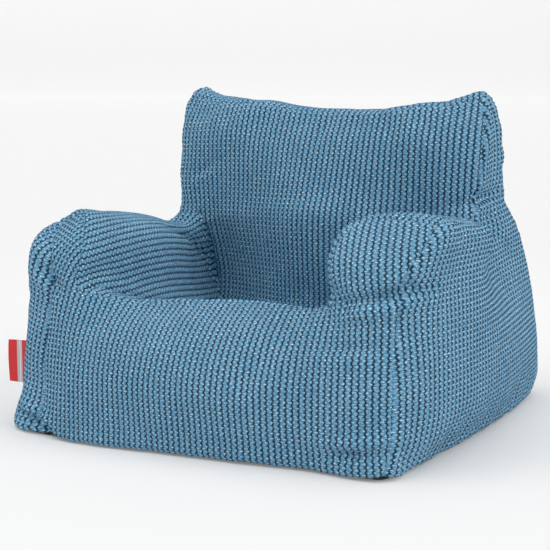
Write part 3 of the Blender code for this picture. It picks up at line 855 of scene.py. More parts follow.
@dataclass(frozen=True)
class CordWeave:
    """The cover's cloth: wide cords that zigzag, each with a knot at every turn. Its colour has painted shade
    in the grooves and gaps, and painted highlights on the knots and flecks.
    """

    cord_pitch: float = 0.0139
    knot_pitch: float = 0.0113
    zigzag: float = 0.092
    cord_height: float = 0.0032
    knot_height: float = 0.0022
    # The two darkest stops are painted shade for the grooves and gaps; the brightest stop is a painted
    # highlight for knots and flecks.
    deep_shade: Colour = (0.003, 0.018, 0.036)
    shade: Colour = (0.018, 0.095, 0.180)
    body: Colour = (0.082, 0.280, 0.470)
    pale: Colour = (0.235, 0.500, 0.720)
    bright: Colour = (0.700, 0.880, 1.000)
    tone_stops: tuple[float, ...] = (0.04, 0.24, 0.46, 0.70, 0.96)
    base_tone: float = 0.045
    pile: float = 0.0030
    knot_sink: float = 0.4

    def relief(self, fabric: Points) -> Points:
        """Gives the height of the cloth's face above its grooves.

        Args:
            fabric: Places in the flat cloth, in metres.

        Returns:
            One height in metres for each place.
        """
        row = fabric[:, 1] / self.knot_pitch
        turn = 4 * np.abs(row - np.floor(row) - 0.5) - 1
        column = fabric[:, 0] / self.cord_pitch + self.zigzag * turn
        across = 2 * (column - np.floor(column)) - 1
        crown = np.sqrt(np.clip(1 - across**2, 0.0, 1.0))
        knot = smooth_step(-0.5, 0.7, turn * -across)
        return crown * (self.cord_height + self.knot_height * (knot - self.knot_sink))

    def finish(self, name: str) -> bpy.types.Material:
        """Builds the cloth's material, whose colour holds painted shade and painted highlights as well as its
        own mottling.

        Args:
            name: The material's name.

        Returns:
            The material.
        """
        made = Finish(name, 0.92)
        place, across_m, along_m = made.cloth_place()
        drift = made.math("MULTIPLY_ADD", made.noise(place, 26.0, 1.0), 0.16, -0.08)
        row = made.math("DIVIDE", along_m, self.knot_pitch)
        row = made.math("ADD", row, drift)
        turn = made.math("PINGPONG", made.math("ADD", row, 0.5), 0.5)
        turn = made.math("MULTIPLY_ADD", turn, 4.0, -1.0)
        turn = made.math("MULTIPLY", turn, -1.0)
        column = made.math("DIVIDE", across_m, self.cord_pitch)
        column = made.math("MULTIPLY_ADD", turn, self.zigzag, column)
        column = made.math("MULTIPLY_ADD", drift, 0.5, column)
        across = made.math("MULTIPLY_ADD", made.math("FRACT", column), 2.0, -1.0)
        edge = made.math("ABSOLUTE", across)
        # The grooves between cords darken the colour: painted shade. The same mask sinks them in the bump.
        shaded_groove = made.span(edge, 0.58, 0.94)
        side = made.math("MULTIPLY", turn, across)
        lump = made.span(made.math("ABSOLUTE", turn), 0.16, 0.62)
        lobe = made.math("ABSOLUTE", made.math("ADD", side, 0.32))
        # Each knot lightens the colour: a painted highlight on its top. It also raises the knot in the bump.
        knot = made.math("MULTIPLY", made.span(lobe, 0.22, 0.58, 1.0, 0.0), lump)
        # The waist and the gap between knots darken the colour: painted shade. They also sink the bump there.
        waist = made.math("MULTIPLY_ADD", lump, -0.34, 0.34)
        gap = made.math("MAXIMUM", made.span(side, 0.22, 0.66), waist)
        fibre = made.noise(place, 700.0, 2.0)
        strokes = made.node("ShaderNodeMapping", Vector=place, Scale=(1.0, 2.1, 1.0)).outputs["Vector"]
        patch = made.noise(strokes, 190.0, 2.0)
        slow = made.noise(place, 9.0, 2.0)
        # Near-white flecks: painted highlights glinting on the fibres.
        fleck_highlight = made.span(patch, 0.53, 0.66)
        uneven = made.span(made.noise(place, 120.0, 1.0), 0.30, 0.70, 0.35, 1.30)
        knot = made.math("MULTIPLY", knot, uneven)
        # Fibre, patch and slow are the cloth's own mottling; knot and fleck add painted highlights, gap and
        # groove painted shade.
        tints_and_painted_light = (fibre, 0.56), (patch, 0.30), (slow, 0.12), (knot, 0.19), (fleck_highlight, 0.26), (gap, -0.20)
        tone = made.weighted((*tints_and_painted_light, (shaded_groove, -0.46)), self.base_tone)
        colours = (self.deep_shade, self.shade, self.body, self.pale, self.bright)
        colour = made.ramp(tone, tuple(zip(self.tone_stops, colours)))
        made.feed(made.shader.inputs["Base Color"], colour)
        height = made.weighted(((fibre, 0.6), (shaded_groove, -0.8), (patch, 0.7), (knot, 0.5), (gap, -0.7)))
        made.bump(height, self.pile, 1.0)
        made.sheen(0.22, 0.45, (0.62, 0.82, 1.0))
        made.shader.inputs["Specular IOR Level"].default_value = 0.25
        return made.material


@dataclass(frozen=True)
class PlainWeave:
    """A fine plain-woven cloth, such as the underside, a tape, a label or the liner."""

    colour: Colour
    accent: Colour
    thread: float = 0.0006
    roughness: float = 0.8
    sheen: float = 0.2

    def finish(self, name: str) -> bpy.types.Material:
        """Builds the cloth's material from its threads.

        Args:
            name: The material's name.

        Returns:
            The material.
        """
        made = Finish(name, self.roughness)
        place = made.own_place()
        frequency = 2 * math.pi / (2 * self.thread)
        parted = made.node("ShaderNodeSeparateXYZ", Vector=place)
        across = made.math("ADD", parted.outputs["X"], parted.outputs["Y"])
        warp = made.math("SINE", made.math("MULTIPLY", across, frequency))
        weft = made.math("SINE", made.math("MULTIPLY", parted.outputs["Z"], frequency))
        cross = made.math("MULTIPLY", warp, weft)
        uneven = made.noise(place, 120.0, 3.0)
        tone = made.math("MULTIPLY_ADD", cross, 0.20, uneven)
        colour = made.ramp(made.span(tone, 0.2, 0.8), ((0.0, self.accent), (1.0, self.colour)))
        made.feed(made.shader.inputs["Base Color"], colour)
        made.bump(tone, 0.0004, 0.6)
        made.sheen(self.sheen, 0.4, (1.0, 1.0, 1.0))
        return made.material


@dataclass(frozen=True)
class BeadMass:
    """Expanded polystyrene beads, packed."""

    bead: float = 0.0045

    def finish(self, name: str) -> bpy.types.Material:
        """Builds the material of the beads, with painted shade where they meet.

        Args:
            name: The material's name.

        Returns:
            The material.
        """
        made = Finish(name, 0.65)
        place = made.own_place()
        cells = made.node("ShaderNodeTexVoronoi", Vector=place, Scale=1 / self.bead)
        # The colour darkens from each bead's middle to where beads meet: painted shade between them. The bump
        # follows it.
        gap = made.span(cells.outputs["Distance"], 0.25, 0.75)
        colour = made.ramp(gap, ((0.0, (0.88, 0.88, 0.87)), (1.0, (0.42, 0.42, 0.42))))
        made.feed(made.shader.inputs["Base Color"], colour)
        made.bump(made.math("SUBTRACT", 1.0, gap), 0.002)
        made.shader.inputs["Subsurface Weight"].default_value = 0.1
        return made.material


@dataclass(frozen=True)
class ZipMetal:
    """Plated zip metal with fine wear."""

    colour: Colour = (0.42, 0.42, 0.43)

    def finish(self, name: str) -> bpy.types.Material:
        """Builds the metal's material.

        Args:
            name: The material's name.

        Returns:
            The material.
        """
        made = Finish(name, 0.32, 1.0)
        place = made.own_place()
        wear = made.noise(place, 900.0, 3.0)
        colour = made.ramp(wear, ((0.3, toned(self.colour, 0.6)), (0.7, self.colour)))
        made.feed(made.shader.inputs["Base Color"], colour)
        made.feed(made.shader.inputs["Roughness"], made.span(wear, 0.2, 0.8, 0.25, 0.5))
        made.bump(wear, 0.0001, 0.5)
        return made.material


@dataclass(frozen=True)
class LabelWeave:
    """Woven red satin, with an optional pale band that runs along its length."""

    red: Colour = (0.780, 0.012, 0.018)
    pale: Colour = (0.560, 0.560, 0.570)
    band: tuple[float, float] | None = None
    edge: float = 0.0004

    def finish(self, name: str) -> bpy.types.Material:
        """Builds the label's material; the band is a range across the flat cloth, in metres.

        Args:
            name: The material's name.

        Returns:
            The material.
        """
        made = Finish(name, 0.48)
        place, across, along = made.cloth_place()
        rib = made.math("SINE", made.math("MULTIPLY", along, 2 * math.pi / 0.0009))
        thread = made.math("MULTIPLY_ADD", rib, 0.16, made.noise(place, 900.0, 2.0))
        colour = made.ramp(thread, ((0.25, toned(self.red, 0.72)), (0.75, self.red)))
        if self.band:
            start, end = self.band
            low = made.span(across, start - self.edge, start + self.edge)
            high = made.span(across, end - self.edge, end + self.edge, 1.0, 0.0)
            grey = made.ramp(thread, ((0.25, toned(self.pale, 0.8)), (0.75, self.pale)))
            colour = made.mixed(made.math("MULTIPLY", low, high), colour, grey)
        made.feed(made.shader.inputs["Base Color"], colour)
        made.bump(thread, 0.0003, 0.7)
        made.sheen(0.25, 0.3, (1.0, 0.9, 0.9))
        return made.material


# ---- The cover ------------------------------------------------------------------------


class Grain(Enum):
    """The way that a panel's cords run over the chair."""

    UPRIGHT = 2
    FRONT_TO_BACK = 1


@dataclass(frozen=True)
class Cut:
    """How a panel is cut from the cloth."""

    grain: Grain
    stretch: float = 1.0
    spread: float = 0.0


@dataclass(frozen=True)
class Crease:
    """A crease or dimple in the cover, along a line, with the cloth swelling beside it."""

    line: tuple[tuple[float, float, float], ...]
    depth: float
    width: float
    swell: float = 0.0
    beside: tuple[float, float, float] = (0.0, 0.0, -1.0)

    def push(self, points: Points) -> Points:
        """Gives how far each point moves outward.

        Args:
            points: Places on the cover.

        Returns:
            One distance in metres for each point, below 0 for inward.
        """
        nearest = np.full(len(points), np.inf)
        offset = np.zeros(len(points))
        ends_eased = np.ones(len(points))
        line = np.array(self.line)
        lengths = np.linalg.norm(np.diff(line, axis=0), axis=1)
        travelled = np.concatenate(([0.0], np.cumsum(lengths)))
        for n, (first, second) in enumerate(zip(line[:-1], line[1:])):
            way = (second - first) / lengths[n]
            along = (points - first) @ way
            foot = first + np.clip(along, 0.0, lengths[n])[:, None] * way
            apart = points - foot
            distance = np.linalg.norm(apart, axis=1)
            closer = distance < nearest
            share = (travelled[n] + np.clip(along, 0.0, lengths[n])) / travelled[-1]
            ease = np.sin(np.pi * np.clip(0.12 + 0.76 * share, 0.0, 1.0))
            nearest = np.where(closer, distance, nearest)
            offset = np.where(closer, apart @ np.array(self.beside), offset)
            ends_eased = np.where(closer, ease, ends_eased)
        dent = np.exp(-((nearest / self.width) ** 2))
        rise = np.exp(-(((offset - 1.8 * self.width) / (1.3 * self.width)) ** 2))
        near = np.exp(-((nearest / (3.2 * self.width)) ** 4))
        return ends_eased * (self.swell * rise * near - self.depth * dent)


@dataclass(frozen=True)
class Bulge:
    """A place where the stuffing pushes the cover out of its plain form."""

    centre: tuple[float, float, float]
    reach: tuple[float, float, float]
    move: tuple[float, float, float]

    def shift(self, points: Points) -> Points:
        """Gives each point's move, fading away from the centre."""
        far = (((points - np.array(self.centre)) / np.array(self.reach)) ** 2).sum(axis=1)
        return np.exp(-far)[:, None] * np.array(self.move)


@dataclass
class Cover:
    """The sewn cover: eight panels of wavy cord, stuffed tight, creased and gathered at its seams."""

    form: ChairForm = field(default_factory=ChairForm)
    weave: CordWeave = field(default_factory=CordWeave)
    levels: int = 3
    puff: float = 0.0065
    slack: float = -0.02
    settle: float = -0.0048
    cell: tuple[float, float] = (0.0019, 0.0029)
    most_parts: int = 9
    seam_depth: float = 0.0030
    seam_width: float = 0.0058
    pucker: float = 0.0022
    wave: float = 0.0032
    wave_sizes: tuple[float, float] = (0.13, 0.055)
    ripple_share: float = 0.45
    pucker_size: float = 0.020
    pucker_reach: float = 0.028
    cord_sink: float = 0.4
    cord_end: float = 0.0045
    gap_spread: float = 40
    zip_reach: tuple[float, float] = (0.262, 0.0150)
    zip_ease: float = 0.012
    frames: int = 20
    pressure: float = 4.0
    underside_z: float = 0.0009
    lowest_z: float = 0.0006
    cuts: dict[Panel, Cut] = field(
        default_factory=lambda: {
            Panel.FRONT: Cut(Grain.UPRIGHT, 0.96, 0.20),
            Panel.SEAT: Cut(Grain.FRONT_TO_BACK),
            Panel.ARM_LEFT: Cut(Grain.FRONT_TO_BACK, 1.0),
            Panel.ARM_RIGHT: Cut(Grain.FRONT_TO_BACK, 1.0),
            Panel.SIDE_LEFT: Cut(Grain.UPRIGHT, 1.28),
            Panel.SIDE_RIGHT: Cut(Grain.UPRIGHT, 1.28),
            Panel.BACK_FRONT: Cut(Grain.UPRIGHT, 0.98, 0.30),
            Panel.BACK_REAR: Cut(Grain.UPRIGHT),
        }
    )
    creases: tuple[Crease, ...] = (
        Crease(
            (
                (0.298, -0.426, 0.340),
                (0.350, -0.437, 0.352),
                (0.392, -0.428, 0.361),
                (0.425, -0.403, 0.374),
                (0.452, -0.338, 0.373),
            ),
            depth=0.019,
            width=0.014,
            swell=0.014,
        ),
        Crease(((0.270, -0.451, 0.256), (0.342, -0.456, 0.261), (0.400, -0.447, 0.266)), 0.009, 0.015, 0.006),
        Crease(
            ((0.290, -0.478, 0.044), (0.347, -0.478, 0.052), (0.409, -0.450, 0.060)),
            depth=0.016,
            width=0.013,
            swell=0.010,
            beside=(0.0, 0.0, 1.0),
        ),
        Crease(
            ((-0.47, -0.42, 0.040), (-0.417, -0.438, 0.034), (-0.370, -0.444, 0.018)),
            depth=0.016,
            width=0.012,
            swell=0.010,
            beside=(0.0, 0.0, 1.0),
        ),
        Crease(
            ((-0.440, -0.410, 0.375), (-0.407, -0.418, 0.349), (-0.372, -0.432, 0.325)),
            depth=0.014,
            width=0.013,
            swell=0.008,
        ),
        Crease(
            ((-0.307, -0.030, 0.417), (-0.316, 0.033, 0.403), (-0.317, 0.083, 0.378)),
            depth=0.010,
            width=0.010,
            swell=0.004,
        ),
        Crease(((-0.330, 0.101, 0.537), (-0.305, 0.099, 0.553), (-0.288, 0.097, 0.566)), 0.009, 0.011, 0.004),
        Crease(
            ((0.013, 0.138, 0.692), (0.007, 0.122, 0.672), (-0.012, 0.104, 0.635), (-0.025, 0.092, 0.605)),
            depth=0.006,
            width=0.014,
        ),
        Crease(
            ((0.341, 0.100, 0.489), (0.375, 0.116, 0.504), (0.378, 0.202, 0.504), (0.384, 0.241, 0.515)),
            depth=0.016,
            width=0.013,
            swell=0.008,
        ),
        Crease(
            ((-0.305, -0.075, 0.428), (-0.313, 0.032, 0.391), (-0.312, 0.108, 0.336), (-0.296, 0.124, 0.278)),
            depth=0.020,
            width=0.012,
        ),
        Crease(((0.477, -0.179, 0.473), (0.398, 0.186, 0.417), (0.414, 0.255, 0.369)), 0.008, 0.022, 0.004),
        Crease(((0.300, -0.350, 0.440), (0.360, -0.360, 0.430), (0.420, -0.330, 0.440)), 0.006, 0.020, 0.003),
    )
    gaps: tuple[Crease, ...] = (
        Crease(
            ((-0.300, -0.075, 0.440), (-0.313, 0.032, 0.391), (-0.312, 0.108, 0.336), (-0.296, 0.124, 0.278)),
            depth=0.012,
            width=0.050,
        ),
        Crease(((0.341, 0.100, 0.489), (0.384, 0.241, 0.515)), 0.006, 0.040),
        Crease(((-0.25, 0.120, 0.250), (0.26, 0.120, 0.250)), 0.006, 0.040),
        Crease(((0.230, -0.250, 0.300), (0.240, 0.060, 0.280)), 0.005, 0.040),
    )
    bulges: tuple[Bulge, ...] = (
        Bulge((-0.195, 0.190, 0.715), (0.085, 0.140, 0.080), (0.0, 0.0, 0.023)),
        Bulge((-0.335, 0.190, 0.725), (0.040, 0.140, 0.050), (0.0, 0.0, -0.008)),
        Bulge((0.350, 0.190, 0.725), (0.050, 0.140, 0.050), (0.0, 0.0, -0.008)),
        Bulge((-0.380, 0.150, 0.515), (0.070, 0.120, 0.050), (-0.009, 0.0, 0.003)),
        Bulge((-0.445, -0.300, 0.470), (0.055, 0.090, 0.045), (0.005, 0.0, -0.007)),
        Bulge((0.460, 0.300, 0.320), (0.080, 0.200, 0.110), (-0.007, -0.003, 0.0)),
        Bulge((0.430, 0.430, 0.040), (0.100, 0.120, 0.060), (0.009, 0.007, 0.0)),
        Bulge((-0.290, -0.460, 0.000), (0.200, 0.080, 0.060), (0.0, -0.020, 0.0)),
        Bulge((0.220, 0.190, 0.705), (0.070, 0.140, 0.080), (0.0, 0.0, 0.018)),
        Bulge((-0.385, 0.170, 0.600), (0.070, 0.150, 0.120), (-0.009, 0.0, 0.0)),
        Bulge((0.430, 0.220, 0.445), (0.070, 0.120, 0.050), (0.010, 0.005, 0.000)),
        Bulge((-0.470, -0.400, 0.010), (0.085, 0.110, 0.055), (-0.026, -0.020, 0.0)),
        Bulge((-0.310, -0.370, 0.325), (0.060, 0.060, 0.045), (0.0, -0.004, 0.014)),
        Bulge((-0.180, -0.370, 0.330), (0.230, 0.090, 0.060), (0.0, 0.0, -0.014)),
        Bulge((0.410, -0.440, 0.010), (0.080, 0.070, 0.055), (0.008, -0.024, 0.0)),
        Bulge((-0.400, -0.200, 0.480), (0.070, 0.120, 0.050), (0.0, 0.0, 0.003)),
        Bulge((-0.430, 0.040, 0.470), (0.080, 0.090, 0.060), (0.010, 0.0, -0.010)),
    )
    lifts: tuple[tuple[float, float, float, float], ...] = (
        (-0.365, -0.445, 0.024, 0.012),
        (0.385, -0.450, 0.022, 0.012),
    )

    def build(self) -> None:
        """Makes every panel, and the underside, and puts them on the chair."""
        base = rounded(self.form.cage(), self.levels)
        shaped = self.stuffed(base)
        self.lay_out(shaped)
        fine = rounded(shaped, 1)
        self.sculpt(fine)
        self.make_panels(fine)

    def stuffed(self, mesh: bpy.types.Mesh) -> bpy.types.Mesh:
        """Blows the cover up against its seams as its beads do.

        Args:
            mesh: The rounded form.

        Returns:
            The form with its panels swollen between seams that are held.
        """
        held = self.seam_vertices(mesh, with_underside=True)
        blank = linked("cloth_blank", mesh.copy())
        pins = blank.vertex_groups.new(name="seams")
        pins.add([int(v) for v in np.flatnonzero(held)], 1.0, "REPLACE")
        cloth = blank.modifiers.new("stuffing", "CLOTH")
        settings = cloth.settings
        settings.quality = 5
        settings.mass = 0.3
        settings.tension_stiffness = 12.0
        settings.compression_stiffness = 6.0
        settings.bending_stiffness = 0.4
        settings.vertex_group_mass = "seams"
        settings.use_pressure = True
        settings.uniform_pressure_force = self.pressure
        settings.shrink_min = self.slack
        settings.effector_weights.gravity = 0.0
        cloth.collision_settings.use_collision = False
        cloth.point_cache.frame_start = 1
        cloth.point_cache.frame_end = self.frames
        for step in range(1, self.frames + 1):
            bpy.context.scene.frame_set(step)
        graph = bpy.context.evaluated_depsgraph_get()
        blown = bpy.data.meshes.new_from_object(blank.evaluated_get(graph))
        bpy.data.objects.remove(blank, do_unlink=True)
        bpy.context.scene.frame_set(1)
        start, move = places(mesh), places(blown) - places(mesh)
        far = np.linalg.norm(move, axis=1, keepdims=True)
        capped = move * (self.puff * np.tanh(far / self.puff) / np.maximum(far, 1e-9))
        put_places(mesh, start + capped)
        swell = float(np.linalg.norm(capped, axis=1).mean())
        LOG.info("cover stuffed: mean swell %.1f mm", 1000 * swell)
        return mesh

    @staticmethod
    def seam_vertices(mesh: bpy.types.Mesh, with_underside: bool = False) -> Points:
        """Says which vertices lie on a seam.

        Args:
            mesh: A mesh whose faces carry their panel.
            with_underside: Whether the whole underside counts too.

        Returns:
            True for each vertex on a seam.
        """
        quads, panels = quads_of(mesh), panels_of(mesh)
        low = np.full(len(mesh.vertices), 99)
        high = np.full(len(mesh.vertices), -1)
        corners = np.repeat(panels, 4)
        np.minimum.at(low, quads.ravel(), corners)
        np.maximum.at(high, quads.ravel(), corners)
        return (low != high) | (with_underside & (high == int(Panel.UNDERSIDE)))

    def lay_out(self, mesh: bpy.types.Mesh) -> None:
        """Flattens each panel as its pattern piece, in metres, with the cords running upward in it.

        Args:
            mesh: The stuffed cover, which takes the pattern as its fabric layer.
        """
        quads, panels = quads_of(mesh), panels_of(mesh)
        blank = linked("pattern_blank", mesh)
        beside: dict[tuple[int, int], set[int]] = {}
        for quad, panel in zip(quads.tolist(), panels.tolist()):
            for n in range(4):
                pair = tuple(sorted((quad[n], quad[n - 1])))
                beside.setdefault(pair, set()).add(panel)
        for edge in mesh.edges:
            edge.use_seam = len(beside[tuple(sorted(edge.vertices))]) == 2
        mesh.uv_layers.new(name="fabric")
        bpy.context.view_layer.objects.active = blank
        blank.select_set(True)
        bpy.ops.object.mode_set(mode="EDIT")
        bpy.ops.mesh.select_all(action="SELECT")
        bpy.ops.uv.unwrap(method="MINIMUM_STRETCH", iterations=80, margin=0.0)
        bpy.ops.object.mode_set(mode="OBJECT")
        flat = fabric_of(mesh)
        points = places(mesh)
        for panel, cut in self.cuts.items():
            own = panels == int(panel)
            flat[own] = self.turned(flat[own], points[quads[own]], cut)
        mesh.uv_layers["fabric"].data.foreach_set("uv", flat.astype(np.float32).ravel())
        bpy.data.objects.remove(blank, do_unlink=True)

    def turned(self, flat: Points, corners: Points, cut: Cut) -> Points:
        """Sizes a pattern piece in metres and turns it so that its cords run the right way.

        Args:
            flat: The piece's flat place at each corner of each face.
            corners: The same corners' places on the chair.
            cut: How the panel is cut.

        Returns:
            The flat places in metres, along the cords in the second number.
        """
        solid = np.cross(corners[:, 2] - corners[:, 0], corners[:, 3] - corners[:, 1])
        first, second = flat[:, 2] - flat[:, 0], flat[:, 3] - flat[:, 1]
        level = first[:, 0] * second[:, 1] - first[:, 1] * second[:, 0]
        scale = math.sqrt(np.linalg.norm(solid, axis=1).sum() / np.abs(level).sum())
        pattern = (flat - flat.mean(axis=(0, 1))).reshape(-1, 2) * scale
        wanted = corners.reshape(-1, 3)[:, cut.grain.value]
        slope = np.linalg.lstsq(np.column_stack([pattern, np.ones(len(pattern))]), wanted, rcond=None)[0]
        up = slope[:2] / np.linalg.norm(slope[:2])
        along = pattern @ up
        across = pattern @ np.array([up[1], -up[0]])
        if level.sum() < 0:
            across = -across
        placed = np.column_stack([(across - 0.5 * cut.spread * across**2) / cut.stretch, along])
        LOG.info("pattern piece %.2f x %.2f m", np.ptp(across), np.ptp(along))
        return placed.reshape(-1, 4, 2)

    def sculpt(self, mesh: bpy.types.Mesh) -> None:
        """Creases the cover, tucks its hem, lifts it at the front corners and gathers its seams.

        Args:
            mesh: The stuffed cover, which is changed.
        """
        points, normals = places(mesh), outward(mesh)
        seam = self.seam_distance(mesh)
        push = self.settle * smooth_step(0.0, 0.03, points[:, 2]) * smooth_step(0.0, 0.045, seam)
        push += self.wave * lumps(points, self.wave_sizes[0], 3.1) * smooth_step(0.0, 0.08, seam)
        push += self.ripple_share * self.wave * lumps(points, self.wave_sizes[1], 8.4)
        push += self.pucker * lumps(points, self.pucker_size, 5.2) * np.exp(-seam / self.pucker_reach)
        for crease in self.creases:
            push += crease.push(points)
        above = points[:, 2] > 0.002
        points += normals * (push * above)[:, None]
        for bulge in self.bulges:
            points += bulge.shift(points) * smooth_step(-0.004, 0.006, points[:, 2])[:, None]
        low_band = smooth_step(0.060, 0.0, points[:, 2])
        for x, y, reach, rise in self.lifts:
            near = np.exp(-((points[:, 0] - x) ** 2 + (points[:, 1] - y) ** 2) / reach**2)
            points[:, 2] += rise * near * low_band
        points[:, 2] = np.maximum(points[:, 2], 0.0012)
        put_places(mesh, points)

    def seam_distance(self, mesh: bpy.types.Mesh) -> Points:
        """Measures how far each vertex lies from the nearest seam.

        Args:
            mesh: A mesh whose faces carry their panel.

        Returns:
            One distance in metres for each vertex.
        """
        points = places(mesh)
        on_seam = np.flatnonzero(self.seam_vertices(mesh))
        tree = KDTree(len(on_seam))
        for n in on_seam:
            tree.insert(points[n], int(n))
        tree.balance()
        return np.array([tree.find(p)[2] for p in points])

    def make_panels(self, mesh: bpy.types.Mesh) -> None:
        """Splits the finished form into its panels, each with the cloth's relief.

        Args:
            mesh: The sculpted cover.
        """
        quads, panels = quads_of(mesh), panels_of(mesh)
        flat = fabric_of(mesh)
        parts = strip_parts(quads, flat, self.cell, self.most_parts)
        values = np.column_stack([places(mesh), outward(mesh), self.seam_distance(mesh)])
        finish = self.weave.finish("wavy_cord")
        for panel, node in NODE_OF_PANEL.items():
            own = np.flatnonzero(panels == int(panel))
            used, local = np.unique(quads[own], return_inverse=True)
            local = local.reshape(-1, 4)
            fabric = np.zeros((len(used), 2))
            fabric[local] = flat[own]
            rows, cells = diced(np.column_stack([values[used], fabric]), local, parts[own])
            points = self.with_relief(rows)
            if panel == Panel.BACK_REAR:
                points = self.pressed_by_zip(points)
            made = mesh_of(node + "_cloth", points, cells, rows[:, 7:9])
            piece = linked("cover_" + node, made)
            made.materials.append(finish)
            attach(piece, "chair")
            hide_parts(node)
            LOG.info("%s: %d faces", piece.name, len(cells))
        self.make_underside(mesh, quads[panels == int(Panel.UNDERSIDE)])

    def with_relief(self, rows: Points) -> Points:
        """Raises the cords from the cloth, and draws it in at the seams.

        Args:
            rows: Place, normal, seam distance and place in the flat cloth for each vertex.

        Returns:
            The vertices' places.
        """
        normals = rows[:, 3:6] / np.linalg.norm(rows[:, 3:6], axis=1, keepdims=True)
        seam = rows[:, 6]
        raised = self.weave.relief(rows[:, 7:9]) - self.cord_sink * self.weave.cord_height
        height = raised * smooth_step(0.0, self.cord_end, seam)
        gap = sum(-crease.push(rows[:, :3]) for crease in self.gaps)
        width = self.seam_width * (1 + self.gap_spread * gap)
        height -= (self.seam_depth + gap) * np.exp(-((seam / width) ** 2))
        height *= smooth_step(-0.010, 0.012, rows[:, 2])
        points = rows[:, :3] + normals * height[:, None]
        points[:, 2] = np.maximum(points[:, 2], self.lowest_z)
        return points

    def pressed_by_zip(self, points: Points) -> Points:
        """Lays the rear panel flat where the zip's tapes are sewn to it.

        Args:
            points: Places on the rear panel.

        Returns:
            The same places, with those under the zip laid flat.
        """
        low, high = (np.array(corner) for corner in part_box("cover_zip_upper_tape"))
        bed = low[1] - 0.0004
        aside = np.maximum(np.abs(points[:, 0]) - self.zip_reach[0], 0.0)
        above = np.maximum(np.abs(points[:, 2] - low[2]) - self.zip_reach[1], 0.0)
        share = smooth_step(self.zip_ease, 0.0, np.hypot(aside, above)) * (points[:, 1] > 0.3)
        points[:, 1] += share * (bed - points[:, 1])
        return points

    def make_underside(self, mesh: bpy.types.Mesh, quads: Points) -> None:
        """Makes the black cloth under the chair, up to the cover's hem.

        Args:
            mesh: The sculpted cover.
            quads: Its faces under the chair.
        """
        used, local = np.unique(quads, return_inverse=True)
        points, normals = places(mesh)[used], outward(mesh)[used]
        rim = self.seam_vertices(mesh)[used]
        seam = self.seam_distance(mesh)[used]
        flat = smooth_step(-0.010, 0.012, points[:, 2])
        points[rim] -= (normals * (self.seam_depth * flat)[:, None])[rim]
        points[~rim, 2] = self.underside_z
        points[:, 2] += np.where(rim, 0.0, 0.0012 * np.exp(-seam / 0.02))
        points[rim, 2] = np.maximum(points[rim, 2], self.lowest_z)
        local = local.reshape(-1, 4)
        down = np.tile([0.0, 0.0, -1.0], (len(points), 1))
        rows, cells = diced(np.column_stack([points, down]), local, np.full((len(local), 2), 2))
        made = mesh_of("underside_cloth", rows[:, :3], cells, rows[:, :2])
        piece = linked("underside", made)
        black = PlainWeave((0.012, 0.012, 0.014), (0.004, 0.004, 0.005), 0.0012, 0.85)
        made.materials.append(black.finish("underside_cloth"))
        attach(piece, "chair")
        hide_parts("base_panel")
        LOG.info("%s: %d faces", piece.name, len(cells))


# ---- Inside the cover -----------------------------------------------------------------


@dataclass
class Filling:
    """The liner bag and the beads in it."""

    form: ChairForm = field(default_factory=ChairForm)
    liner_inset: float = 0.0135
    bead_inset: float = 0.0178
    floor_z: float = 0.0054
    wrinkle: float = 0.0016

    def inset(self, mesh: bpy.types.Mesh, inset: float, seed: float) -> Points:
        """Draws the form in.

        Args:
            mesh: The rounded form.
            inset: How far its walls go in.
            seed: Which random wrinkles.

        Returns:
            The vertices' places.
        """
        points, quads, panels = places(mesh), quads_of(mesh), panels_of(mesh)
        corners = points[quads]
        wall = np.cross(corners[:, 2] - corners[:, 0], corners[:, 3] - corners[:, 1])
        wall[panels == int(Panel.UNDERSIDE)] = 0.0
        normals = np.zeros_like(points)
        for n in range(4):
            np.add.at(normals, quads[:, n], wall)
        on_floor = points[:, 2] < 0.0045
        normals[on_floor, 2] = 0.0
        size = np.linalg.norm(normals, axis=1, keepdims=True)
        normals = normals / np.maximum(size, 1e-12) * (size > 1e-12)
        ruffled = inset + self.wrinkle * (0.5 + 0.5 * lumps(points, 0.03, seed))
        cover = Cover()
        for crease in (*cover.creases, *cover.gaps):
            ruffled -= np.minimum(crease.push(points), 0.0)
        moved = points - normals * ruffled[:, None]
        for bulge in cover.bulges:
            moved += bulge.shift(points)
        low = self.floor_z + max(inset - self.liner_inset, 0.0)
        moved[:, 2] = np.where(on_floor, low, np.maximum(moved[:, 2], low + 0.010))
        return moved

    def build(self) -> None:
        """Makes the liner and the beads."""
        mesh = rounded(self.form.cage(), 3)
        quads = quads_of(mesh)
        off_white = PlainWeave((0.60, 0.60, 0.58), (0.42, 0.42, 0.41), 0.0009, 0.6, 0.1)
        liner_cloth = off_white.finish("liner_cloth")
        foam = BeadMass().finish("foam_beads")
        plan = (
            ("liner_bag", self.liner_inset, 1.7, "inner_liner", "liner_fabric", 0.8, liner_cloth),
            ("packed_beads", self.bead_inset, 6.1, "bead_fill", "beads", 0.9, foam),
        )
        for name, inset, seed, node, slot, fill, finish in plan:
            made = mesh_of(name, self.inset(mesh, inset, seed), quads)
            made.materials.append(finish)
            piece = linked(name, made)
            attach(piece, "chair")
            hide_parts(node)
            LOG.info("%s: %d faces", name, len(quads))


# ---- Zips and flap --------------------------------------------------------------------


def grid_faces(rows: int, columns: int) -> Points:
    """Numbers the faces of a grid of points.

    Args:
        rows: Rows of points.
        columns: Points in a row.

    Returns:
        Four corners a face.
    """
    at = np.arange(rows * columns).reshape(rows, columns)
    faces = np.stack([at[:-1, :-1], at[:-1, 1:], at[1:, 1:], at[1:, :-1]], -1)
    return faces.reshape(-1, 4)


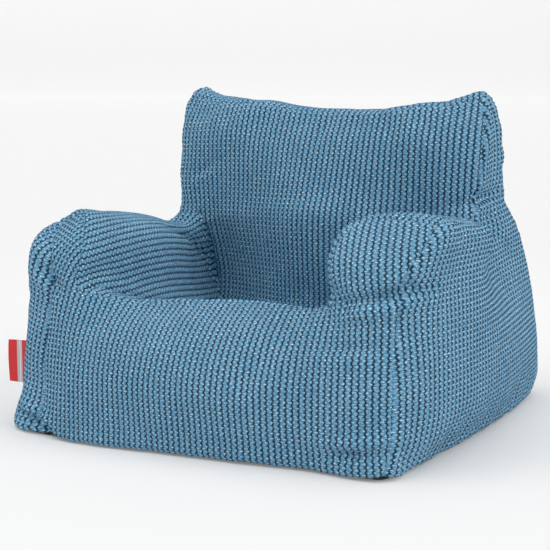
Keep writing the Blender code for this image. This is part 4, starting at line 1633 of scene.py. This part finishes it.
@dataclass(frozen=True)
class CoilTape:
    """A zip tape: dyed herringbone, with the coil's turns along its inner edge and painted shade between the
    turns.
    """

    middle_z: float
    cloth: Colour = (0.040, 0.120, 0.210)
    coil: Colour = (0.060, 0.170, 0.280)
    coil_width: float = 0.0027
    coil_edge: float = 0.0002
    turn: float = 0.0013
    twill_pitch: float = 0.0011

    def finish(self, name: str) -> bpy.types.Material:
        """Builds the tape's material.

        Args:
            name: The material's name.

        Returns:
            The material.
        """
        made = Finish(name, 0.62)
        place = made.own_place()
        parted = made.node("ShaderNodeSeparateXYZ", Vector=place)
        x, z = parted.outputs["X"], parted.outputs["Z"]
        off = made.math("ABSOLUTE", made.math("SUBTRACT", z, self.middle_z))
        on_coil = made.span(off, self.coil_width - self.coil_edge, self.coil_width + self.coil_edge, 1.0, 0.0)
        turns = made.math("SINE", made.math("MULTIPLY", x, 2 * math.pi / self.turn))
        slant = made.math("PINGPONG", off, 0.0016)
        slanted = made.math("ADD", x, slant)
        twill = made.math("SINE", made.math("MULTIPLY", slanted, 2 * math.pi / self.twill_pitch))
        grain = made.noise(place, 1200.0, 2.0)
        cloth = made.ramp(
            made.math("MULTIPLY_ADD", twill, 0.25, grain),
            ((0.2, toned(self.cloth, 0.5)), (0.8, self.cloth)),
        )
        # The coil colour falls to a quarter between its turns: painted shade between them.
        coil = made.ramp(
            made.math("MULTIPLY_ADD", turns, 0.5, 0.5),
            ((0.15, toned(self.coil, 0.25)), (0.7, self.coil)),
        )
        made.feed(made.shader.inputs["Base Color"], made.mixed(on_coil, cloth, coil))
        height = made.math("MULTIPLY", turns, on_coil)
        height = made.math("MULTIPLY_ADD", twill, 0.2, height)
        made.bump(height, 0.0004, 0.9)
        return made.material


@dataclass
class Zips:
    """The two zips, whose own shapes stay and get their finishes, and the flap over the outer one."""

    weave: CordWeave = field(default_factory=CordWeave)
    cord: float = 0.0022
    flap_rows: int = 17
    flap_columns: int = 321
    fold_height: float = 0.0080
    fold_gap: float = 0.0002

    def build(self) -> None:
        """Dresses the zips and makes the flap."""
        metal = ZipMetal().finish("zip_metal_plate")
        for prefix in ("cover", "liner"):
            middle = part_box(f"{prefix}_zip_upper_tape")[0][2]
            cloth = (0.040, 0.120, 0.210) if prefix == "cover" else (0.50, 0.50, 0.49)
            tape = CoilTape(middle, cloth=cloth, coil=toned(cloth, 1.4))
            finish = tape.finish(prefix + "_zip_tape")
            for word in ("upper_tape", "lower_tape"):
                self.dress(f"{prefix}_zip_{word}", finish)
            for word in ("slider", "stop_left", "stop_right"):
                self.dress(f"{prefix}_zip_{word}", metal)
            LOG.info("%s zip dressed", prefix)
        self.make_flap()

    @staticmethod
    def dress(node: str, finish: bpy.types.Material) -> None:
        """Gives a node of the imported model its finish.

        Args:
            node: The node's name.
            finish: Its material.
        """
        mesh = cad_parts[node].data
        mesh.materials.clear()
        mesh.materials.append(finish)

    def make_flap(self) -> None:
        """Makes the ribbed strip that hangs over the zip, and the fold it is sewn by."""
        low, high = (np.array(corner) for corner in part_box("cover_zip_flap"))
        across = np.linspace(low[0], high[0], self.flap_columns)
        down = np.linspace(0.0, 1.0, self.flap_rows)
        x, t = np.meshgrid(across, down)
        fabric = np.column_stack([x.ravel(), -t.ravel() * (high[2] - low[2])])
        ease = smooth_step(0.0, 0.25, t.ravel()) * smooth_step(0.0, 0.08, 1 - t.ravel())
        ribs = self.cord * (self.weave.relief(fabric) / self.weave.cord_height - 0.5) * ease
        middle = 0.5 * (low[1] + high[1])
        sway = 0.0009 * np.sin(13 * x.ravel()) * t.ravel()
        fall = high[2] - t.ravel() * (high[2] - low[2])
        points = np.column_stack([x.ravel(), middle + ribs + sway, fall])
        finish = self.weave.finish("flap_cord")
        faces = grid_faces(self.flap_rows, self.flap_columns)
        flap = linked("zip_flap_cloth", mesh_of("zip_flap_cloth", points, faces[:, ::-1], fabric))
        flap.data.materials.append(finish)
        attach(flap, "zip_flap")
        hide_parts("cover_zip_flap")
        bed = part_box("cover_zip_upper_tape")[0][1] - 0.0008
        turn = np.linspace(0.0, 1.0, 9)
        x, t = np.meshgrid(across, turn)
        x, t = x.ravel(), t.ravel()
        y = bed + (middle - bed) * np.sin(0.5 * np.pi * t)
        z = high[2] + self.fold_height + self.fold_gap - self.fold_height * t**1.6
        fabric = np.column_stack([x, 0.012 * t])
        faces = grid_faces(len(turn), self.flap_columns)[:, ::-1]
        fold = linked("zip_flap_fold", mesh_of("zip_flap_fold", np.column_stack([x, y, z]), faces, fabric))
        fold.data.materials.append(finish)
        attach(fold, "chair")
        LOG.info("flap made")


# ---- Labels ---------------------------------------------------------------------------


@dataclass
class SideLabel:
    """A blank red tab folded over, sewn in the left seam by a hem with a pale band."""

    bow: float = 0.0022
    rows: int = 25
    leaf: float = 0.0005
    leaf_columns: int = 12
    hem_columns: int = 14

    def sway(self, z: Points, x: Points, root: float) -> Points:
        """Gives how far the label bows forward at a height and reach."""
        reach = np.clip((root - x) / 0.03, 0.0, 1.5)
        return -self.bow * reach * np.sin(38 * (z - 0.10))

    def build(self) -> None:
        """Makes the tab and its hem."""
        low, high = (np.array(corner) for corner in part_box("side_label"))
        middle = 0.5 * (low[1] + high[1])
        root, tip = high[0] - 0.0006, low[0] + 0.0004
        turn = np.linspace(-0.5 * np.pi, 0.5 * np.pi, 7)
        leaf = np.linspace(root, tip + self.leaf, self.leaf_columns)
        side = np.full(self.leaf_columns, self.leaf)
        outline_x = np.concatenate([leaf, tip + self.leaf * (1 - np.cos(turn)), leaf[::-1]])
        outline_y = np.concatenate([-side, self.leaf * np.sin(turn), side])
        heights = np.linspace(low[2], high[2], self.rows)
        x, z = np.meshgrid(outline_x, heights)
        y = np.tile(outline_y, (self.rows, 1)) + middle + self.sway(z, x, root)
        z = z + 0.05 * (x - root) * smooth_step(0.14, 0.183, z)
        run = np.concatenate(([0.0], np.cumsum(np.hypot(np.diff(outline_x), np.diff(outline_y)))))
        fabric = np.column_stack([np.tile(run, self.rows), np.repeat(heights, len(run))])
        points = np.column_stack([x.ravel(), y.ravel(), z.ravel()])
        mesh = mesh_of("label_tab_cloth", points, grid_faces(self.rows, len(run)), fabric)
        tab = linked("label_tab_cloth", mesh)
        tab.data.materials.append(LabelWeave(band=(-0.0020, 0.0062)).finish("red_satin"))
        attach(tab, "label_tab")
        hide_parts("side_label")
        self.make_hem()
        LOG.info("side label made")

    def make_hem(self) -> None:
        """Makes the hem: red at its edges, with the pale band between."""
        low, high = (np.array(corner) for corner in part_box("side_label_hem"))
        middle = 0.5 * (low[1] + high[1])
        across = np.linspace(low[0] + 0.0004, high[0], self.hem_columns)
        around = np.concatenate([across, across[::-1]])
        side = np.repeat([-self.leaf, self.leaf], self.hem_columns)
        heights = np.linspace(low[2], high[2], self.rows)
        x, z = np.meshgrid(around, heights)
        y = np.tile(side, (self.rows, 1)) + middle
        fabric = np.column_stack([(x - low[0]).ravel(), z.ravel()])
        points = np.column_stack([x.ravel(), y.ravel(), z.ravel()])
        faces = grid_faces(self.rows, len(around))
        hem = linked("label_hem_cloth", mesh_of("label_hem_cloth", points, faces, fabric))
        hem.data.materials.append(LabelWeave(band=(-0.0020, 0.0058)).finish("banded_satin"))
        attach(hem, "chair")
        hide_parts("side_label_hem")


@dataclass
class CareLabel:
    """A small blank satin label out of the rear left seam."""

    rows: int = 12

    def build(self) -> None:
        """Makes the label, gently curled."""
        low, high = (np.array(corner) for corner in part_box("care_label"))
        out = np.linspace(0.0, 1.0, self.rows)
        height = np.linspace(low[2], high[2], self.rows)
        t, z = (a.ravel() for a in np.meshgrid(out, height))
        x = 0.5 * (low[0] + high[0]) + 0.003 * t**2 * np.sin(30 * (z - low[2]))
        y = low[1] - 0.004 + t * (high[1] - low[1] + 0.004)
        fabric = np.column_stack([y, z])
        faces = grid_faces(self.rows, self.rows)
        mesh = mesh_of("care_label_cloth", np.column_stack([x, y, z]), faces, fabric)
        piece = linked("care_label_cloth", mesh)
        white = PlainWeave((0.80, 0.80, 0.79), (0.62, 0.62, 0.61), 0.0004, 0.5)
        mesh.materials.append(white.finish("white_satin"))
        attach(piece, "chair")
        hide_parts("care_label")
        LOG.info("care label made")


# ---- The studio -----------------------------------------------------------------------


@dataclass
class Studio:
    """A plain pale floor that curves up behind, soft light, and the camera."""

    camera_place: tuple[float, float, float] = (1.52556, -3.13083, 0.82)
    turn: float = math.radians(27)
    tilt: float = math.atan(1 / 7)
    lens: float = 99.883636
    sensor: float = 36.0
    paper: float = 0.634
    far_paper: float = 0.600
    floor_glow: float = 0.16
    sky: float = 0.68
    wall_glow: float = 0.32
    floor_reach: float = 30.0
    sweep: float = 3.0
    wall_height: float = 8.0
    spokes: int = 97
    suns: tuple[tuple[str, tuple[float, float, float], float, float], ...] = (
        ("key", (-1.3, -1.3, 2.8), 44.0, 0.84),
        ("top", (0.2, 0.6, 3.0), 50.0, 0.72),
        ("side", (3.0, -0.5, 1.8), 40.0, 0.84),
    )

    def build(self) -> None:
        """Makes the camera, the floor and the lights."""
        scene = bpy.context.scene
        camera = linked("camera", bpy.data.cameras.new("camera"))
        camera.data.lens = self.lens
        camera.data.sensor_width = self.sensor
        camera.location = self.camera_place
        camera.rotation_euler = (math.pi / 2 - self.tilt, 0.0, self.turn)
        scene.camera = camera
        scene.view_settings.view_transform = "Standard"
        self.make_floor()
        self.make_world(scene)
        for name, place, spread, strength in self.suns:
            self.light(name, place, spread, strength)
        LOG.info("studio built")

    def make_floor(self) -> None:
        """Makes the paper: a floor and a wall in one sweep."""
        profile = [(reach, 0.0) for reach in (0.01, 0.6, 1.2, 2.5, 5.0, 12.0, self.floor_reach)]
        for angle in np.linspace(0.1, math.pi / 2, 16):
            out, up = math.sin(angle), 1 - math.cos(angle)
            profile.append((self.floor_reach + self.sweep * out, self.sweep * up))
        profile.append((self.floor_reach + self.sweep, self.wall_height))
        reach, height = np.array(profile).T
        turn = np.linspace(0.0, 2 * math.pi, self.spokes)
        x, y = np.outer(reach, np.cos(turn)), np.outer(reach, np.sin(turn))
        points = np.column_stack([x.ravel(), y.ravel(), np.repeat(height, self.spokes)])
        mesh = mesh_of("paper", points, grid_faces(len(reach), self.spokes))
        floor = linked("paper_floor", mesh)
        made = Finish("studio_paper", 0.95)
        place = made.own_place()
        grain = made.noise(place, 40.0, 3.0)
        away = made.node("ShaderNodeVectorMath", {"operation": "LENGTH"}, Vector=place).outputs["Value"]
        away = made.math("MULTIPLY_ADD", grain, 0.05, made.span(away, 0.8, 3.5))
        tone = made.ramp(away, ((0.0, (self.paper,) * 3), (1.0, (self.far_paper,) * 3)))
        made.feed(made.shader.inputs["Base Color"], tone)
        made.shader.inputs["Specular IOR Level"].default_value = 0.0
        height = made.node("ShaderNodeSeparateXYZ", Vector=place).outputs["Z"]
        glow = made.span(height, 0.0, 3.0, self.floor_glow, self.wall_glow)
        made.shader.inputs["Emission Color"].default_value = (1.0, 1.0, 1.0, 1.0)
        made.feed(made.shader.inputs["Emission Strength"], glow)
        mesh.materials.append(made.material)

    def make_world(self, scene: bpy.types.Scene) -> None:
        """Fills the room with even light.

        Args:
            scene: The scene that it is for.
        """
        world = bpy.data.worlds.new("studio")
        world.use_nodes = True
        back = world.node_tree.nodes["Background"]
        back.inputs["Color"].default_value = (1.0, 1.0, 1.0, 1.0)
        back.inputs["Strength"].default_value = self.sky
        scene.world = world

    @staticmethod
    def light(name: str, place: Sequence[float], spread: float, strength: float) -> None:
        """Adds a broad light from far away.

        Args:
            name: The light's name.
            place: The direction it comes from.
            spread: How broad it looks, in degrees.
            strength: Its strength in watts a square metre.
        """
        data = bpy.data.lights.new(name, "SUN")
        data.angle = math.radians(spread)
        data.energy = strength
        lamp = linked(name, data)
        lamp.location = place
        lamp.rotation_euler = (-Vector(place)).to_track_quat("-Z", "Y").to_euler()


def main() -> None:
    """Builds every sub-assembly in order."""
    logging.basicConfig(level=logging.INFO, format="%(name)s: %(message)s", stream=sys.stdout)
    Studio().build()
    Cover().build()
    Filling().build()
    Zips().build()
    SideLabel().build()
    CareLabel().build()


if __name__ == "__main__":
    main()
